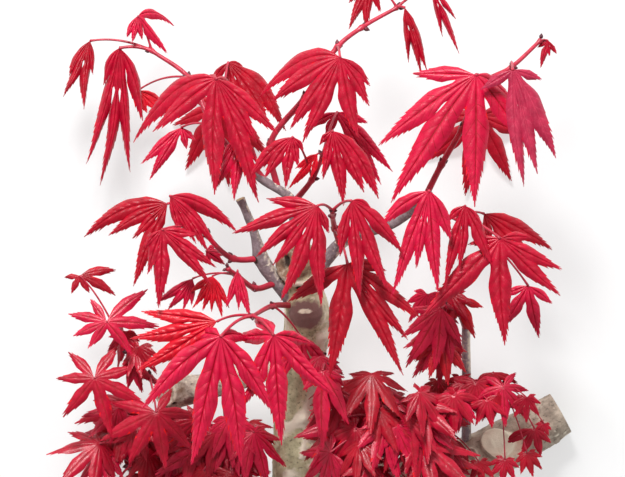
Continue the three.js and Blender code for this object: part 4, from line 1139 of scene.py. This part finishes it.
def add_limb(batch, finish, domed, path, features, seed):
    """A limb with its bark's relief: streaks along it, wrinkles round it, pores and its features."""
    spacing, sides = LIMB_GRID[finish]
    line, radii, gone = evenly(*limb_line(path, LIMB_STEPS), spacing)
    if domed:
        dome = np.linspace(0, 1, DOME_RINGS + 1)[1:] * 0.97 * math.pi / 2
        along = unit(line[-1] - line[-2])
        top, radius = line[-1], radii[-1]
        line = np.vstack([line, top + along * (radius * DOME_HEIGHT * np.sin(dome))[:, None]])
        radii = np.concatenate([radii, radius * np.cos(dome)])
        gone = np.concatenate([gone, gone[-1] + radius * np.sin(dome)])
    along, spokes = directions(line, sides)
    points = line[:, None] + spokes * radii[:, None, None]
    outward = spokes.copy()
    if domed:
        outward[-DOME_RINGS:] = unit(points[-DOME_RINGS:] - top)

    # Relief and marks of the bark, each a noise at its own scale in millimetres
    turn = outward * np.maximum(radii, 2)[:, None, None]
    lengthwise = gone[:, None, None] * np.ones(3)
    streaks = noise(turn / 1.1 + lengthwise / (5, 6, 7), seed)
    wrinkles = noise(turn / 9 + lengthwise * (1.3, 0, 0), seed + 1)
    pores = ramp(noise(turn / 1.3 + lengthwise * (0, 1.6, 0), seed + 2), 0.45, 0.75)
    lumps = noise(points / 5.5, seed + 3)
    broad = noise(points / 14, seed + 4)
    relief = 0.55 * broad + 0.4 * lumps + 0.14 * streaks + 0.22 * pores
    relief = relief + 0.2 * wrinkles * ramp(lumps, -0.2, 0.6)
    relief = relief * np.minimum(radii / 8, 1)[:, None]
    rise, marks = feature_fields(points, features)
    # Painted light: the side of a limb that faces +x is made paler as if lit, along with pale clouds and
    # pores
    marks["pale"] += 0.55 * ramp(outward[..., 0], -0.1, 0.9) + 0.35 * ramp(broad, 0, 0.6) + 0.4 * pores
    # Painted shade darkens the crevices, where streaks and lumps sink
    marks["hollow"] += 0.5 * ramp(-streaks - lumps, 0.7, 1.4)
    marks["ring"] = np.ones(points.shape[:2])
    points = points + outward * (relief + rise)[..., None]
    points[..., 2] = np.maximum(points[..., 2], UNDERSIDE[2])
    if path[0][1] < CUT_Y:
        first = int(np.argmax(line[:, 1] > CUT_Y + spacing))
        shift = (CUT_Y - points[first, :, 1]) / along[first, 1]
        points[first] += along[first] * shift[:, None]
        points = points[first:]
        marks = {name: values[first:] for name, values in marks.items()}

    # Flat sawn ends, as rings from just inside the end ring to the middle
    wooden = np.zeros(len(points) - 1, int)
    shares = np.concatenate([[0.985], np.linspace(0.94, 0.02, SAWN_RINGS)])
    for at_end in (False,) if domed else (False, True):
        ring = points[-1 if at_end else 0]
        centre = ring.mean(axis=0)
        points = extended(points, centre + (ring - centre) * shares[:, None, None], at_end)
        for name, values in marks.items():
            value = shares if name == "ring" else 0 * shares
            marks[name] = extended(values, np.repeat(value[:, None], sides, axis=1), at_end)
        wooden = extended(wooden, np.ones(len(shares), int), at_end)
    count = len(points) * sides
    ends = [points[0].mean(axis=0), points[-1].mean(axis=0)]
    faces = np.vstack([ring_faces(len(points), sides), cap_faces(0, sides, count, False),
                       cap_faces(count - sides, sides, count + 1, True)])
    slots = np.repeat([*wooden, wooden[0], wooden[-1]], sides)
    batch.add(np.vstack([points.reshape(-1, 3), ends]), faces, slots,
              **{name: np.append(values, [0, 0]) for name, values in marks.items()})


def make_camera():
    data = bpy.data.cameras.new("camera")
    data.lens = SENSOR * VIEW_DISTANCE / VIEW_WIDTH
    data.sensor_width = SENSOR
    camera = add_object("camera", data)
    camera.location = (*VIEW_CENTRE, SHARP_HEIGHT + VIEW_DISTANCE)
    bpy.context.scene.camera = camera


def make_studio():
    """A pale floor, white light that grows towards the branch's top, and a soft lamp beyond it."""
    corners = np.array([(-1, -1, 0), (1, -1, 0), (1, 1, 0), (-1, 1, 0)]) * FLOOR_HALF
    mesh = bpy.data.meshes.new("floor")
    mesh.from_pydata(corners.tolist(), [], [(0, 1, 2, 3)])
    finish = Finish("floor_paper", 0.9, 0.1)
    finish.colour(finish.mix(finish.noise(20, 2), srgb("#9a9a9a"), srgb("#929292")))
    finish.shader["Emission Color"].default_value = WHITE
    finish.shader["Emission Strength"].default_value = FLOOR_GLOW
    mesh.materials.append(finish.material)
    floor = add_object("floor", mesh)

    world = bpy.data.worlds.new("studio")
    sky = Nodes(world)
    place = sky.node("TexCoord").outputs["Generated"]
    light = sky.spread(sky.node("SeparateXYZ", Vector=place).outputs["Y"], *SKY_RANGE, *SKY_LIGHT)
    glossy = sky.node("LightPath").outputs["Is Glossy Ray"]
    background = sky.tree.nodes["Background"].inputs
    background["Color"].default_value = WHITE
    share = sky.math("MULTIPLY_ADD", glossy, SKY_GLOSS - 1, 1)
    sky.feed(background["Strength"], sky.math("MULTIPLY", light, share))
    bpy.context.scene.world = world

    lamp = bpy.data.lights.new("key", "AREA")
    lamp.shape = "DISK"
    lamp.size = KEY_SIZE
    lamp.energy = KEY_POWER
    key = add_object("key", lamp)
    key.location = KEY_PLACE
    key.rotation_euler = (-Vector(KEY_PLACE)).to_track_quat("-Z", "Y").to_euler()
    bpy.context.scene.view_settings.view_transform = "Standard"


make_camera()
make_studio()

leaf_finishes = [skin_finish(name, *looks, LEAF_SKIN) for name, looks in LEAF_FINISHES.items()]
stalk_finishes = [skin_finish(name, *looks, STALK_SKIN) for name, looks in STALK_FINISHES.items()]
wood = wood_finish()

for number, (name, (finish, _, domed, path)) in enumerate(LIMBS.items()):
    batch = Batch()
    add_limb(batch, finish, domed, path, FEATURES.get(name, ()), LIMB_SEED * number)
    skin = bark_finish(name + "_bark", *LIMB_TINTS[name])
    piece("bark_" + name, batch, [skin, wood], finish, name)

masses = {name: (stem, leaves) for name, (stem, *leaves) in SHOOTS.items()}
masses.update((name, (spray[-1], spray_leaves(*spray))) for name, spray in SPRAYS.items())
for number, (name, (stem, leaves)) in enumerate(masses.items()):
    rng = np.random.default_rng(MASS_SEED + number)
    blades, twigs = Batch(), Batch()
    add_shoot(twigs, stem, rng)
    filling = filling_leaves(name, stem) if name in FILLING else []
    fine = name not in SPRAYS and name not in FILLING
    tints = MASS_TINTS.get(name, SPRAY_TINTS)
    for order, leaf in enumerate(leaves + SMALL_LEAVES.get(name, []) + filling):
        node = np.asarray(stem[leaf[8]] if isinstance(leaf[8], int) else leaf[8], float)
        add_stalk(twigs, node, np.asarray(leaf[0], float), leaf[1])
        tint = tints[order % len(tints)]
        places = [LEAF_PLACES.index("leaf_" + tint), LEAF_PLACES.index(VEINS.get(tint, "vein_painted_shade"))]
        leaf_mesh(blades, leaf, *places, rng, fine, QUILT * CRINKLE.get(name, 1))
    piece("leaves_" + name, blades, leaf_finishes, "leaf", name)
    piece("twigs_" + name, twigs, stalk_finishes, "leaf", name)
